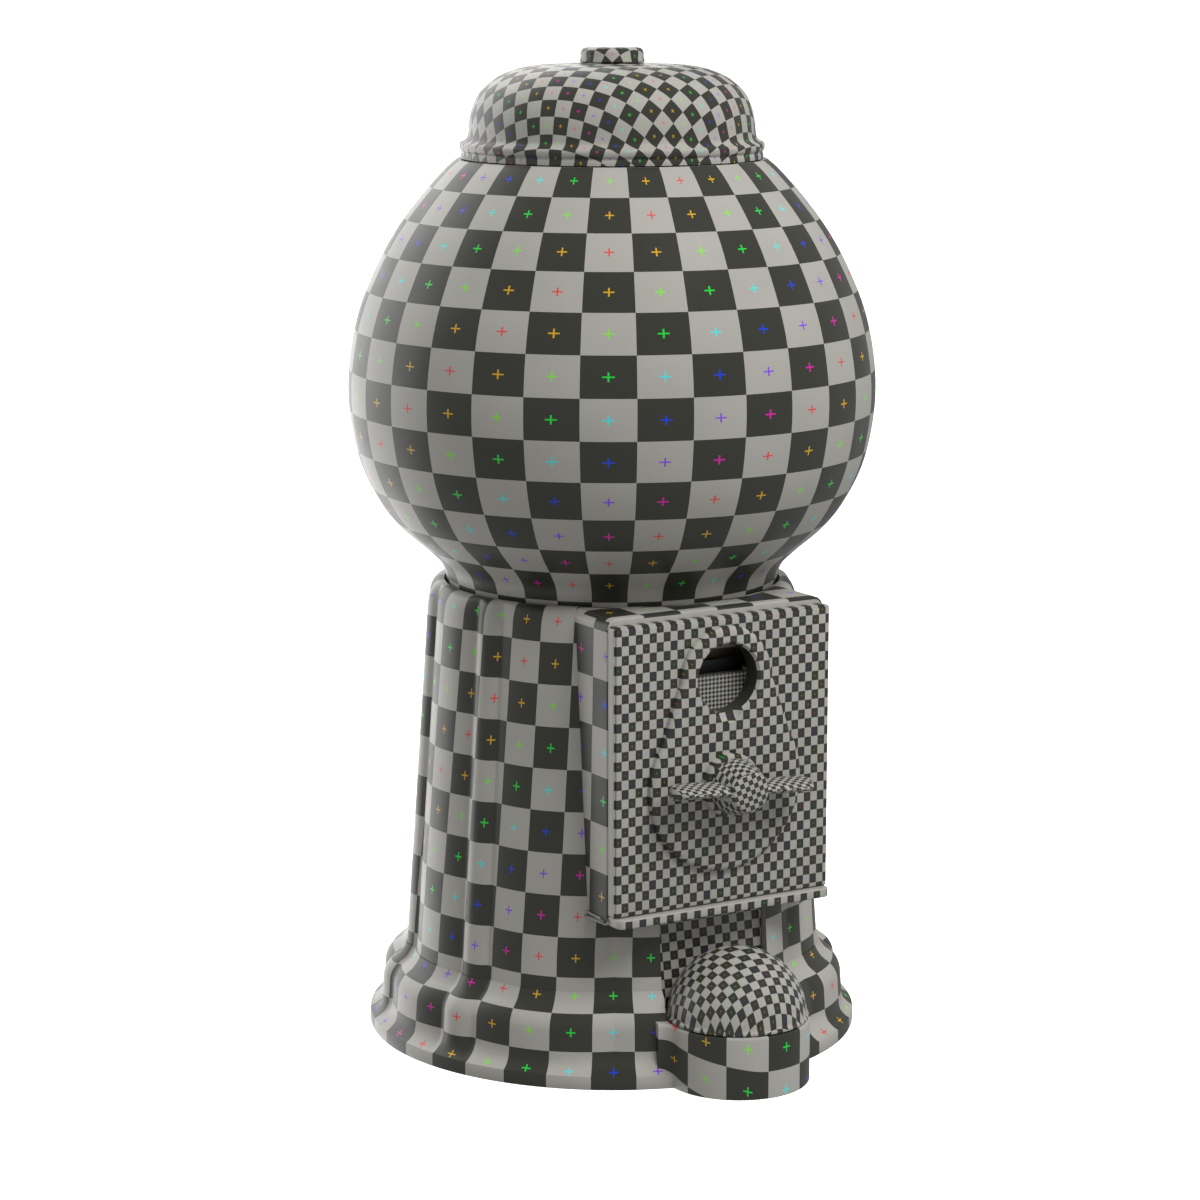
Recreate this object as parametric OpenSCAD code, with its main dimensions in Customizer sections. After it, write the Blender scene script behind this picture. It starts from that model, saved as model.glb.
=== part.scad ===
// Countertop gumball machine: cast body, globe, lid, coin mechanism and dispensing wheel.
// Millimetres. +Z is up, the front faces -Y, and the origin is on the machine's axis at the floor.

/* [Globe and lid] */
// Radius of the globe at its widest
globe_r = 101.6; // [101:0.1:101.8]
// Height of the globe's widest line
globe_z = 252; // [251.5:0.1:252.5]
// Wall thickness of the globe
globe_wall = 2.5; // [2:0.1:3]
// Height of the top of the lid knob
total_h = 381; // [380:0.5:383]
// Radius of the lid knob
knob_r = 12; // [11:0.5:13]

/* [Cast body] */
// Radius of the foot's ground ring
foot_r = 96; // [95.5:0.1:96.5]
// Column radius over its ribs just above the foot
column_low_r = 81.6; // [81:0.1:82]
// Column radius over its ribs at the top
column_high_r = 72.4; // [72:0.1:73]
// Height of the top of the body
body_top = 177.4; // [177:0.1:178]
// Depth of the grooves between the ribs
groove_depth = 2.7; // [1.5:0.1:3]
// Half width of the mechanism box
box_half_w = 47.3; // [46.5:0.1:48]

/* [Front plate and handle] */
// Y of the plate's front face
plate_y = -82.4; // [-83:0.1:-82]
// Thickness of the front plate
plate_t = 5.1; // [4.5:0.1:5.2]
// Height of the handle's axis
axis_z = 112; // [111.5:0.1:112.5]
// Height of the coin window's centre
window_z = 152; // [151.5:0.1:152.5]
// Radius of the coin window
window_r = 13; // [12:0.5:13.5]
// Span of the handle over its wings
handle_span = 61; // [56:1:64]

/* [Chute and door] */
// Y of the centre of the cup and the door
cup_y = -93; // [-93.2:0.1:-92.8]
// Outer radius of the cup
cup_r = 27.3; // [27.2:0.1:27.4]
// Height of the cup's rim
cup_rim = 24; // [23.8:0.1:24]
// Outer radius of the domed door
door_r = 26.3; // [26:0.1:26.4]

/* [Drive] */
// Number of teeth on the drive pinion
pinion_teeth = 12; // [12]
// Number of teeth round the dispensing wheel
crown_teeth = 48; // [48]
// Gear module
gear_module = 2; // [2]
// Number of pockets in the dispensing wheel
pockets = 6; // [5:1:6]
// Radius of a pocket, for gumballs of 16 mm
pocket_r = 10.3; // [9.5:0.1:10.5]

/* [Hidden] */
$fn = 64;
eps = 0.01;

// running fits
rod_r = 4;
shaft_r = 4;
fit = 0.06;

// stations along the mechanism, from the front plate backwards
plate_back = plate_y + plate_t;
box_front = plate_back;
relief_t = 3.3;
relief_y = plate_y - relief_t;
collar_front = relief_y - 3.9;
coin_wheel_y = plate_back + 1;
coin_wheel_t = 3;
coin_wheel_r = 44;
ratchet_y = coin_wheel_y + coin_wheel_t + 1.6;
ratchet_t = 2.5;
frame_y = -66;
frame_t = 2.5;
pinion_y = -50.8;
pinion_w = 5.6;
post_x = 34;
post_dz = 36;

// dispensing stage
pinion_r = gear_module * pinion_teeth / 2;
crown_r = gear_module * crown_teeth / 2;
crown_z = axis_z + pinion_r;
floor_z = 121.5;
floor_t = 2.5;
wheel_low = floor_z + 0.5;
wheel_top = 141;
wheel_rim_z = crown_z + 2.2;
wheel_r = 51.5;
disc_r = 43.9;
pocket_pitch_r = 33;
housing_r = 52.4;
outlet_angle = 60;
outlet_x = pocket_pitch_r * sin(outlet_angle);
outlet_y = -pocket_pitch_r * cos(outlet_angle);

// ball run from the outlet to the cup
run_dx = -outlet_x;
run_dy = -62 - outlet_y;
run_len = sqrt(run_dx * run_dx + run_dy * run_dy);
run_turn = atan2(run_dy, run_dx);
run_slope = 34;
run_end_z = 11.2;
run_half_w = 10;

// chute plate and its door hinge
chute_y = -73;
chute_t = 4;
hinge_y = -75.6;
hinge_z = 41;
hinge_pin_r = 0.95;
door_z = cup_rim + 0.3;

// ribs round the column: the grooves' angles from the front
grooves = [-30, 30, 65, 75, 105, 115, 150, 210, 245, 255, 285, 295, 330];
rib_step = 6;

// outline of the casting: height, radius over the ribs, groove depth
outline = [
    [0, foot_r, 0], [5, foot_r, 0], [5.8, foot_r - 1.3, 0.4], [8, foot_r - 3.4, 1.4],
    [12, foot_r - 4.2, groove_depth], [20, foot_r - 4.7, groove_depth],
    [24.4, foot_r - 5.8, groove_depth], [27, foot_r - 8.2, groove_depth],
    [29, foot_r - 11, groove_depth], [31.4, column_low_r + 1.6, groove_depth],
    [36, column_low_r, groove_depth], [168, column_high_r, groove_depth],
    [172.5, column_high_r - 0.6, groove_depth], [175.4, column_high_r - 2, groove_depth * 0.7],
    [body_top - 0.4, column_high_r - 4, 0.6], [body_top, column_high_r - 5.2, 0]
];

// ---- shared shapes ----

// cylinder along +Y from y0
module rod_y(x, y0, z, r, len) {
    translate([x, y0, z]) rotate([-90, 0, 0]) cylinder(r = r, h = len);
}

// extrudes an outline drawn in X and Z, as seen from the front, from y0 backwards
module slab_y(y0, t) {
    translate([0, y0 + t, 0]) rotate([90, 0, 0]) linear_extrude(t) children();
}

// box from its low corner to its high corner
module block(low, high) {
    translate(low) cube(high - low);
}

// both signs of x
module pair() {
    children();
    mirror([1, 0, 0]) children();
}

// hexagon nut with a round hole
module hex_nut(across, t, hole_r) {
    difference() {
        cylinder(d = across / cos(30), h = t, $fn = 6);
        translate([0, 0, -1]) cylinder(r = hole_r, h = t + 2);
    }
}

// round-headed screw pointing up, its head under z = 0
module screw_up(r, len, head_r, head_t) {
    cylinder(r = r, h = len);
    translate([0, 0, -head_t]) cylinder(r = head_r, h = head_t + eps);
}

// smooth curve through the points p, with n steps between neighbours
function smooth(p, n) = concat(
    [for (i = [0 : len(p) - 2]) for (k = [0 : n - 1])
        let(
            t = k / n, a = p[max(i - 1, 0)], b = p[i], c = p[i + 1], d = p[min(i + 2, len(p) - 1)]
        )
        0.5 * (2 * b + (c - a) * t + (2 * a - 5 * b + 4 * c - d) * t * t + (3 * b - a - 3 * c + d) * t * t * t)],
    [p[len(p) - 1]]
);

// the same curve moved inwards by t, for a curve drawn from the bottom up
function inset(p, t) = [
    for (i = [0 : len(p) - 1])
        let(run = p[min(i + 1, len(p) - 1)] - p[max(i - 1, 0)])
            p[i] - t * [run[1], -run[0]] / norm(run)
];

function backwards(p) = [for (i = [len(p) - 1 : -1 : 0]) p[i]];

// ---- casting ----

// radius at angle t on a rib from groove a to groove b: an arc through both grooves and the crest
function rib_r(t, a, b, crest, depth) =
    depth <= 0 ? crest :
    let(
        mid = (a + b) / 2, half = (b - a) / 2, low = crest - depth,
        rise = crest - low * cos(half), chord = low * sin(half),
        arc = (chord * chord + rise * rise) / (2 * rise), shift = crest - arc
    )
    shift * cos(t - mid) + sqrt(arc * arc - pow(shift * sin(t - mid), 2));

// one ring of the casting's skin: [angle, groove before, groove after] for each point
ring_spots = [
    for (i = [0 : len(grooves) - 2])
        let(a = grooves[i], b = grooves[i + 1], n = ceil((b - a) / rib_step))
            for (k = [0 : n - 1]) [a + (b - a) * k / n, a, b]
];

module casting_skin() {
    n = len(ring_spots);
    rows = len(outline);
    points = [
        for (row = outline) for (s = ring_spots)
            let(r = rib_r(s[0], s[1], s[2], row[1], row[2]))
                [r * sin(s[0]), -r * cos(s[0]), row[0]]
    ];
    sides = [
        for (j = [0 : rows - 2]) for (i = [0 : n - 1])
            [j * n + i, (j + 1) * n + i, (j + 1) * n + (i + 1) % n, j * n + (i + 1) % n]
    ];
    base = [[for (i = [0 : n - 1]) i]];
    cap = [[for (i = [n - 1 : -1 : 0]) (rows - 1) * n + i]];
    polyhedron(points, concat(sides, base, cap));
}

// half-round cup outline with concave corners where it leaves the foot
module cup_outline() {
    ring_r = foot_r - 3;
    corner_r = 10;
    reach = ring_r + corner_r;
    side = cup_r + corner_r;
    span = -cup_y;
    cy = -(reach * reach - side * side + span * span) / (2 * span);
    cx = sqrt(reach * reach - cy * cy);
    translate([0, cup_y]) circle(r = cup_r);
    difference() {
        polygon([[0, cup_y], [cx, cy], [0, -60], [-cx, cy]]);
        pair() translate([cx, cy]) circle(r = corner_r);
    }
}

module box_outer() {
    corner = 4;
    slab_y(box_front, 27) {
        translate([-box_half_w, 62]) square([2 * box_half_w, body_top - 62 - corner]);
        translate([-box_half_w + corner, 62]) square([2 * (box_half_w - corner), body_top - 62]);
        pair() translate([box_half_w - corner, body_top - corner]) circle(r = corner);
    }
    block([-box_half_w - 1.3, box_front, 62], [box_half_w + 1.3, -62, 64.3]);
}

module casting_cavity() {
    rotate_extrude($fn = 96) polygon([
        [0, -1], [84, -1], [84, 21], [77, 30], [75.6, 36], [67.2, 163], [61, 163],
        [61, 166], [65.4, 166], [65.4, 180], [0, 180]
    ]);
}

module box_cavity() {
    inner = box_half_w - 2.8;
    block([-inner, box_front - 1, 66], [inner, -45, 160]);
    block([-inner, box_front - 1, 159], [inner, -69.2, body_top - 3]);
}

base_screw_angles = [45, 135, 225, 315];
foot_angles = [22.5, 112.5, 202.5, 292.5];
// clearance for the M10 bolt of a stand
stand_bore_r = 5.3;
plate_screw_spots = [for (x = [-41, 41], z = [70.4, 169.8]) [x, z]];
chute_screw_spots = [for (x = [-25.4, 25.4], z = [36, 54]) [x, z]];

module body_casting() color([0.55, 0.54, 0.52]) difference() {
    union() {
        difference() {
            union() {
                casting_skin();
                linear_extrude(cup_rim) cup_outline();
                box_outer();
            }
            casting_cavity();
            box_cavity();
            block([-23.7, -92, 9], [23.7, -60, 62]);
            // flat face that the front plate lies on
            block([-49, -95, 61.8], [49, box_front, body_top + 1]);
            translate([0, cup_y, 9]) cylinder(r = 24.6, h = 20);
            translate([0, cup_y, -1]) cylinder(r = 24.6, h = 7);
            translate([0, cup_y, cup_rim]) cylinder(r = 27.3, h = 36);
        }
        // floor and cheeks that carry the cup back to the chute plate
        block([-24.5, -88, 6], [24.5, -65.2, 9]);
        pair() block([22, -88, 8.9], [24.5, -73.3, cup_rim - 0.1]);
        // bosses for the base plate
        for (a = base_screw_angles) rotate(a) {
            translate([72, 0, 5.6]) cylinder(r = 5, h = 18);
            block([72, -2.5, 5.6], [85, 2.5, 23.6]);
        }
        // bosses for the front plate
        for (p = plate_screw_spots) {
            rod_y(p[0], box_front, p[1], 3.2, 6);
            side = sign(p[0]);
            block([min(p[0], side * 45), box_front, p[1] - 2], [max(p[0], side * 45), -71.3, p[1] + 2]);
        }
        // pads for the chute plate
        pair() for (z = [36, 54]) block([23.9, -73, z - 3.5], [28.5, -69.1, z + 3.5]);
    }
    for (a = base_screw_angles) rotate(a) translate([72, 0, 4]) cylinder(r = 1.7, h = 13);
    for (p = plate_screw_spots) rod_y(p[0], box_front - 1, p[1], 1.8, 8);
    for (p = chute_screw_spots) rod_y(p[0], -74, p[1], 1.2, 6);
}

// ---- base ----

module base_plate() color([0.35, 0.35, 0.36]) difference() {
    union() {
        translate([0, 0, 3]) cylinder(r = 82.5, h = 2.5);
        cylinder(r = 10, h = 22);
        for (a = [0 : 60 : 300]) rotate(a) block([9, -1.2, 5.4], [60, 1.2, 8.4]);
    }
    translate([0, 0, -1]) cylinder(r = stand_bore_r, h = 10);
    translate([0, 0, 8]) cylinder(r = rod_r + 0.05, h = 15);
    for (a = base_screw_angles) rotate(a) translate([72, 0, 2]) cylinder(r = 2.1, h = 5);
    for (a = foot_angles) rotate(a) translate([60, 0, 2]) cylinder(r = 3.1, h = 8);
}

module base_screws() color([0.72, 0.72, 0.74])
    for (a = base_screw_angles) rotate(a) translate([72, 0, 2.9]) screw_up(1.6, 13, 3.6, 1.8);

module rubber_feet() color([0.08, 0.08, 0.08])
    for (a = foot_angles) rotate(a) translate([60, 0, 0]) {
        cylinder(r = 8, h = 2.9);
        cylinder(r = 3, h = 6.6);
        translate([0, 0, 5.6]) cylinder(r = 4.2, h = 1.8);
    }

module center_rod() color([0.7, 0.7, 0.72]) translate([0, 0, 10.5]) cylinder(r = rod_r, h = 368);

module rod_nut() color([0.68, 0.68, 0.7]) translate([0, 0, 23.7]) hex_nut(13, 6, rod_r + 0.05);

module rod_washer() color([0.74, 0.74, 0.76]) translate([0, 0, 22.1]) difference() {
    cylinder(r = 9, h = 1.5);
    translate([0, 0, -1]) cylinder(r = rod_r + 0.3, h = 4);
}

// ---- globe and lid ----

module lower_gasket() color([0.1, 0.1, 0.1]) translate([0, 0, 167.7]) difference() {
    cylinder(r = 64.6, h = 1.7);
    translate([0, 0, -1]) cylinder(r = 61.8, h = 4);
}

collar_z = 169.5;
shoulder_z = 339.2;
throat_r = 49;

// globe's outline from its collar to its shoulder: [radius, height]
globe_line = [
    [63.6, collar_z], [64, 175], [64.9, 180], [67, 185], [73.6, 191.4], [82.3, 199], [89.5, globe_z - 44.1],
    [96.5, globe_z - 30.3], [globe_r - 1.35, globe_z - 15.5], [globe_r, globe_z],
    [globe_r - 1.35, globe_z + 15.5], [96.8, globe_z + 30.5], [90.9, globe_z + 45], [83.6, globe_z + 58.6],
    [74.6, globe_z + 71], [64.4, globe_z + 82.6], [59.2, shoulder_z]
];

module globe() color([0.8, 0.8, 0.78], 0.9) {
    outer = smooth(globe_line, 3);
    rotate_extrude($fn = 128) polygon(concat(
        outer,
        [[throat_r + 2.5, shoulder_z], [throat_r + 2.5, shoulder_z + 7.6], [throat_r, shoulder_z + 7.6],
            [throat_r, shoulder_z - 2.8]],
        backwards(inset(outer, globe_wall))
    ));
}

module upper_gasket() color([0.1, 0.1, 0.1]) translate([0, 0, shoulder_z + 0.02]) difference() {
    cylinder(r = 56.2, h = 1.3);
    translate([0, 0, -1]) cylinder(r = 51.6, h = 4);
}

knob_z = 375.5;

module lid() color([0.6, 0.6, 0.58]) difference() {
    rotate_extrude($fn = 128) polygon([
        [4.4, 375.2], [12.3, 375.2], [28, 374.4], [33.8, 373.5], [39.5, 371.9], [44, 369.7], [48.1, 366.6],
        [50.7, 363.6], [52.3, 360.6], [53.4, 357.6], [54.2, 354], [54.7, 349.4], [55.2, 347.2], [56.5, 346],
        [57.7, 345.4], [58.1, 344.4], [57.9, 343], [57.3, 342], [57.6, 341], [57.7, 339.6], [56.5, 339.6],
        [56.5, 341], [52.1, 341], [52.1, 349], [51.6, 354], [50.8, 357.4], [49.6, 360],
        [48, 362.6], [45.6, 365.2], [41.6, 367.8], [37.8, 369.4], [32.8, 370.6], [12, 372.1], [4.4, 372.2]
    ]);
    translate([0, 0, 360]) cylinder(r = 4.4, h = 20);
}

module lid_knob() color([0.6, 0.6, 0.58]) difference() {
    rotate_extrude() polygon([
        [0, knob_z], [knob_r + 0.3, knob_z], [knob_r + 0.3, knob_z + 0.8], [knob_r, knob_z + 1.4],
        [knob_r, total_h - 1.9], [knob_r - 0.35, total_h - 0.9], [knob_r - 1.1, total_h - 0.25],
        [knob_r - 2.2, total_h], [0, total_h]
    ]);
    translate([0, 0, knob_z - 1]) cylinder(r = rod_r + fit, h = 5.2);
}

// ---- dispensing stage ----

module hopper() color([0.75, 0.72, 0.6]) difference() {
    rotate_extrude($fn = 96) polygon([
        [59.6, 167.6], [65, 167.6], [65, 166.1], [60.6, 166.1], [60.6, 163.4], [54.9, 147.4],
        [61.2, 147.4], [61.2, 145.2], [52.6, 145.2], [52.6, 147.8]
    ]);
    for (a = [0 : 90 : 270]) rotate(a + 45) translate([58, 0, 144]) cylinder(r = 1.3, h = 5);
}

module wheel_housing() color([0.5, 0.5, 0.52]) difference() {
    union() {
        translate([0, 0, floor_z - floor_t]) cylinder(r = housing_r + 2.4, h = 145 - floor_z + floor_t);
        translate([0, 0, 142.8]) cylinder(r = 61.2, h = 2.2);
    }
    translate([0, 0, floor_z]) cylinder(r = housing_r, h = 40);
    translate([0, 0, floor_z - 10]) cylinder(r = rod_r + 0.3, h = 20);
    translate([outlet_x, outlet_y, floor_z - 10]) cylinder(r = pocket_r + 0.3, h = 20);
    block([-14.5, -60, floor_z - 5], [14.5, -44, crown_z + 3.4]);
    for (a = [0 : 90 : 270]) rotate(a + 45) translate([58, 0, 140]) cylinder(r = 1.7, h = 7);
    for (s = [-1, 1]) rotate(-30) translate([pocket_pitch_r + s * 14.5, 0, 110]) cylinder(r = 1.3, h = 20);
}

module housing_screws() color([0.72, 0.72, 0.74])
    for (a = [0 : 90 : 270]) rotate(a + 45) translate([58, 0, 142.7]) screw_up(1.2, 5.4, 2.6, 1.4);

module outlet_guard() color([0.66, 0.66, 0.68]) difference() {
    intersection() {
        union() {
            translate([0, 0, 141.6]) cylinder(r = housing_r - 0.1, h = 1.4);
            translate([0, 0, 141.6]) difference() {
                cylinder(r = housing_r - 0.1, h = 8);
                translate([0, 0, -1]) cylinder(r = housing_r - 1.3, h = 10);
            }
        }
        rotate(outlet_angle - 90)
            translate([0, 0, 140]) linear_extrude(12) polygon([[0, 0], [62, -24], [62, 24]]);
    }
    translate([0, 0, 130]) cylinder(r = 18, h = 30);
    for (s = [-1, 1]) rotate(outlet_angle - 90 + s * 17) translate([50, 0, 146.6])
        rotate([0, 90, 0]) cylinder(r = 1, h = 5);
}

module crown_tooth() {
    translate([0, 0, crown_z]) rotate([90, 0, 90]) translate([0, 0, 45.6]) linear_extrude(4.9)
        polygon([[-1.2, 2.4], [-0.95, 0], [-0.55, -1.8], [0.55, -1.8], [0.95, 0], [1.2, 2.4]]);
}

module dispensing_wheel() color([0.85, 0.85, 0.82]) difference() {
    union() {
        translate([0, 0, wheel_low]) cylinder(r = disc_r, h = wheel_top - wheel_low);
        translate([0, 0, wheel_rim_z]) cylinder(r = wheel_r, h = wheel_top - wheel_rim_z);
        translate([0, 0, wheel_low]) cylinder(r = 9, h = 26);
        for (i = [0 : crown_teeth - 1]) rotate((i + 0.5) * 360 / crown_teeth - 90) crown_tooth();
    }
    translate([0, 0, 100]) cylinder(r = rod_r + fit, h = 60);
    for (i = [0 : pockets - 1]) rotate(i * 360 / pockets - 30)
        translate([pocket_pitch_r, 0, 110]) cylinder(r = pocket_r, h = 40);
}

module agitator() color([0.7, 0.7, 0.72]) translate([0, 0, 148.1]) {
    difference() {
        cylinder(r = 9, h = 3);
        translate([0, 0, -1]) cylinder(r = rod_r + 0.3, h = 6);
    }
    for (a = [100, 280]) rotate(a) {
        translate([8, 0, 1.5]) rotate([0, 90, 0]) cylinder(r = 1.1, h = 30);
        translate([38, 0, 0.4]) cylinder(r = 1.1, h = 9);
    }
}

// ---- drive ----

module pinion_tooth() {
    root = pinion_r - 2.4;
    tip = pinion_r + 1.7;
    polygon([[root - 2, 1.7], [root, 1.5], [pinion_r, 1.05], [tip, 0.5],
        [tip, -0.5], [pinion_r, -1.05], [root, -1.5], [root - 2, -1.7]]);
}

module drive_pinion() color([0.78, 0.68, 0.4]) difference() {
    union() {
        rod_y(0, pinion_y, axis_z, pinion_r - 2.4, pinion_w);
        for (i = [0 : pinion_teeth - 1]) slab_y(pinion_y, pinion_w)
            translate([0, axis_z]) rotate(90 + i * 360 / pinion_teeth) pinion_tooth();
    }
    rod_y(0, pinion_y - 1, axis_z, shaft_r + 0.02, pinion_w + 2);
}

module spindle() color([0.72, 0.72, 0.74]) {
    rod_y(0, -99, axis_z, shaft_r, 57.5);
    rod_y(0, pinion_y + pinion_w + 0.1, axis_z, 5.5, 1.2);
}

module spindle_clip() color([0.6, 0.6, 0.62]) slab_y(frame_y + frame_t + 0.4, 1.2) difference() {
    translate([0, axis_z]) circle(r = 7.5);
    translate([0, axis_z]) circle(r = shaft_r + 0.02);
    translate([-2, axis_z - 9]) square([4, 8]);
}

hub_back = collar_front - 0.3;
hub_front = -102.4;
wing_tilt = -3.6;

// one wing seen from above: a leaf with a round end
module wing() {
    half = handle_span / 2;
    difference() {
        intersection() {
            translate([0, -95.2, axis_z - 8]) linear_extrude(16) intersection() {
                translate([half - 7, 0]) union() {
                    circle(r = 7);
                    polygon([[0, 7], [-half, 5], [-half, -5], [0, -7]]);
                }
            }
            // wedge section, thin along the front edge
            translate([-1, 0, axis_z]) rotate([90, 0, 90]) linear_extrude(half + 2)
                polygon([[-103, -1.3], [-103, 1.3], [-88, 3.6], [-88, -3.6]]);
        }
        // room for the collar on the plate
        rod_y(0, hub_back, axis_z, 12.5, 5);
    }
}

module handle() color([0.62, 0.62, 0.6]) difference() {
    union() {
        translate([0, 0, axis_z]) rotate([90, 0, 0]) rotate_extrude() polygon([
            [0, -hub_back], [10.6, -hub_back], [10.6, 92], [9.8, 95.5], [8.4, 99.4],
            [7.8, 101.2], [7, 102], [4, -hub_front - 0.1], [0, -hub_front]
        ]);
        translate([0, 0, axis_z]) rotate([0, -wing_tilt, 0]) translate([0, 0, -axis_z]) {
            wing();
            mirror([1, 0, 0]) wing();
        }
    }
    rod_y(0, -99.1, axis_z, shaft_r + 0.02, 30);
}

module coin_wheel() color([0.68, 0.68, 0.66]) difference() {
    rod_y(0, coin_wheel_y, axis_z, coin_wheel_r, coin_wheel_t);
    rod_y(0, coin_wheel_y - 1, axis_z, shaft_r + 0.02, 6);
    block([-window_r - 0.6, coin_wheel_y - 1, window_z], [window_r + 0.6, coin_wheel_y + 9, window_z + 20]);
    for (a = [60 : 60 : 300]) translate([0, 0, axis_z]) rotate([0, a, 0]) rod_y(0, coin_wheel_y - 1, 26, 7, 6);
}

ratchet_teeth = 12;

module ratchet_wheel() color([0.7, 0.7, 0.72]) slab_y(ratchet_y, ratchet_t) translate([0, axis_z]) difference() {
    polygon([
        for (i = [0 : ratchet_teeth - 1]) let(a = i * 360 / ratchet_teeth)
            for (r = [16, 13]) [r * cos(a), r * sin(a)]
    ]);
    circle(r = shaft_r + 0.02);
}

// ---- front plate and mechanism frame ----

module keyhole(grow) {
    translate([0, axis_z - 0.5]) circle(r = 32 + grow);
    translate([0, window_z]) circle(r = 18.6 + grow);
    polygon([[-18.6 - grow, window_z], [18.6 + grow, window_z], [27 + grow, axis_z + 17], [-27 - grow, axis_z + 17]]);
}

module front_plate() color([0.58, 0.58, 0.56]) difference() {
    union() {
        slab_y(plate_y + 0.8, plate_t - 0.8) translate([-47.2, 65.3]) square([94.4, 109.6]);
        slab_y(plate_y, 0.9) translate([-46.5, 66]) square([93, 108.2]);
        // ledge under the plate
        translate([0, 0, 61.9]) linear_extrude(3.5) {
            translate([-43.8, plate_y - 3]) square([87.6, plate_t + 3]);
            pair() translate([43.8, plate_y]) circle(r = 3);
            translate([-46.8, plate_y]) square([93.6, plate_t]);
        }
        // raised keyhole and the collar round the handle's shaft
        slab_y(plate_y - relief_t / 2, relief_t / 2 + eps) keyhole(1);
        slab_y(relief_y, relief_t / 2 + eps) keyhole(0);
        rod_y(0, collar_front, axis_z, 12, relief_y - collar_front + eps);
    }
    rod_y(0, -100, axis_z, shaft_r + fit, 30);
    rod_y(0, -100, window_z, window_r, 30);
    // thumb notch at the foot of the window
    translate([0, relief_y - 3.4, window_z - window_r + 2]) sphere(r = 7);
    for (p = plate_screw_spots) rod_y(p[0], plate_back - 3.4, p[1], 1.55, 5);
    for (x = [-post_x, post_x], z = [-post_dz, post_dz]) rod_y(x, plate_back - 3.4, axis_z + z, 1.3, 5);
}

module plate_screws() color([0.72, 0.72, 0.74])
    for (p = plate_screw_spots) {
        rod_y(p[0], plate_back - 3, p[1], 1.5, 9.1);
        rod_y(p[0], box_front + 6.05, p[1], 3, 1.8);
    }

module mech_frame() color([0.64, 0.64, 0.66]) difference() {
    slab_y(frame_y, frame_t) difference() {
        translate([-40, 71]) square([80, 84]);
        translate([0, axis_z]) circle(r = shaft_r + fit);
        pair() translate([22, axis_z - 24]) circle(r = 9);
    }
    for (x = [-post_x, post_x], z = [-post_dz, post_dz]) rod_y(x, frame_y - 1, axis_z + z, 1.6, 6);
}

module spacer_posts() color([0.7, 0.7, 0.72])
    for (x = [-post_x, post_x], z = [-post_dz, post_dz]) difference() {
        rod_y(x, plate_back + 0.02, axis_z + z, 3, frame_y - plate_back - 0.04);
        rod_y(x, plate_back - 1, axis_z + z, 1.4, 20);
    }

module mech_screws() color([0.72, 0.72, 0.74])
    for (x = [-post_x, post_x], z = [-post_dz, post_dz]) {
        rod_y(x, plate_back - 3, axis_z + z, 1.2, frame_y + frame_t - plate_back + 3.1);
        rod_y(x, frame_y + frame_t + 0.02, axis_z + z, 2.8, 1.6);
    }

pawl_seat = 60;
pawl_pivot_r = 21.5;
pawl_pivot_a = pawl_seat + 50;
pawl_x = pawl_pivot_r * cos(pawl_pivot_a);
pawl_z = axis_z + pawl_pivot_r * sin(pawl_pivot_a);

function around(r, a) = [r * cos(pawl_seat + a), r * sin(pawl_seat + a)];

// drawn lifted clear of the teeth; it swings down by this angle to engage
pawl_lift = 12;

module pawl() color([0.66, 0.62, 0.5])
    translate([pawl_x, 0, pawl_z]) rotate([0, -pawl_lift, 0]) translate([-pawl_x, 0, -pawl_z]) pawl_engaged();

module pawl_engaged() difference() {
    union() {
        slab_y(ratchet_y, ratchet_t) translate([0, axis_z]) polygon([
            around(13.5, 1.6), around(14.4, 8), around(16.9, 27), around(19.2, 46), around(23.2, 54),
            around(20.6, 14), around(18.4, 2.4)
        ]);
        rod_y(pawl_x, ratchet_y, pawl_z, 3.1, ratchet_t);
    }
    rod_y(pawl_x, ratchet_y - 1, pawl_z, 1.55, ratchet_t + 2);
}

module pawl_post() color([0.7, 0.7, 0.72]) {
    rod_y(pawl_x, ratchet_y - 0.4, pawl_z, 1.5, frame_y - ratchet_y + 0.38);
    rod_y(pawl_x, ratchet_y - 1.1, pawl_z, 2.6, 0.8);
}

// torsion spring with its turns closed up, and the leg that bears on the frame
module pawl_spring() color([0.75, 0.75, 0.77]) {
    y0 = ratchet_y + ratchet_t + 0.2;
    difference() {
        rod_y(pawl_x, y0, pawl_z, 2.7, 1.9);
        rod_y(pawl_x, y0 - 1, pawl_z, 2.05, 4);
    }
    translate([pawl_x, y0 + 1.5, pawl_z + 2.3]) rotate([0, -90, 0]) cylinder(r = 0.35, h = 9, $fn = 16);
}

// ---- ball run ----

function run_z(s) = run_end_z + (run_len - s) * tan(run_slope);

module run_strip(width) {
    rotate([90, 0, 0]) translate([0, 0, -width / 2]) linear_extrude(width) children();
}

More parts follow.
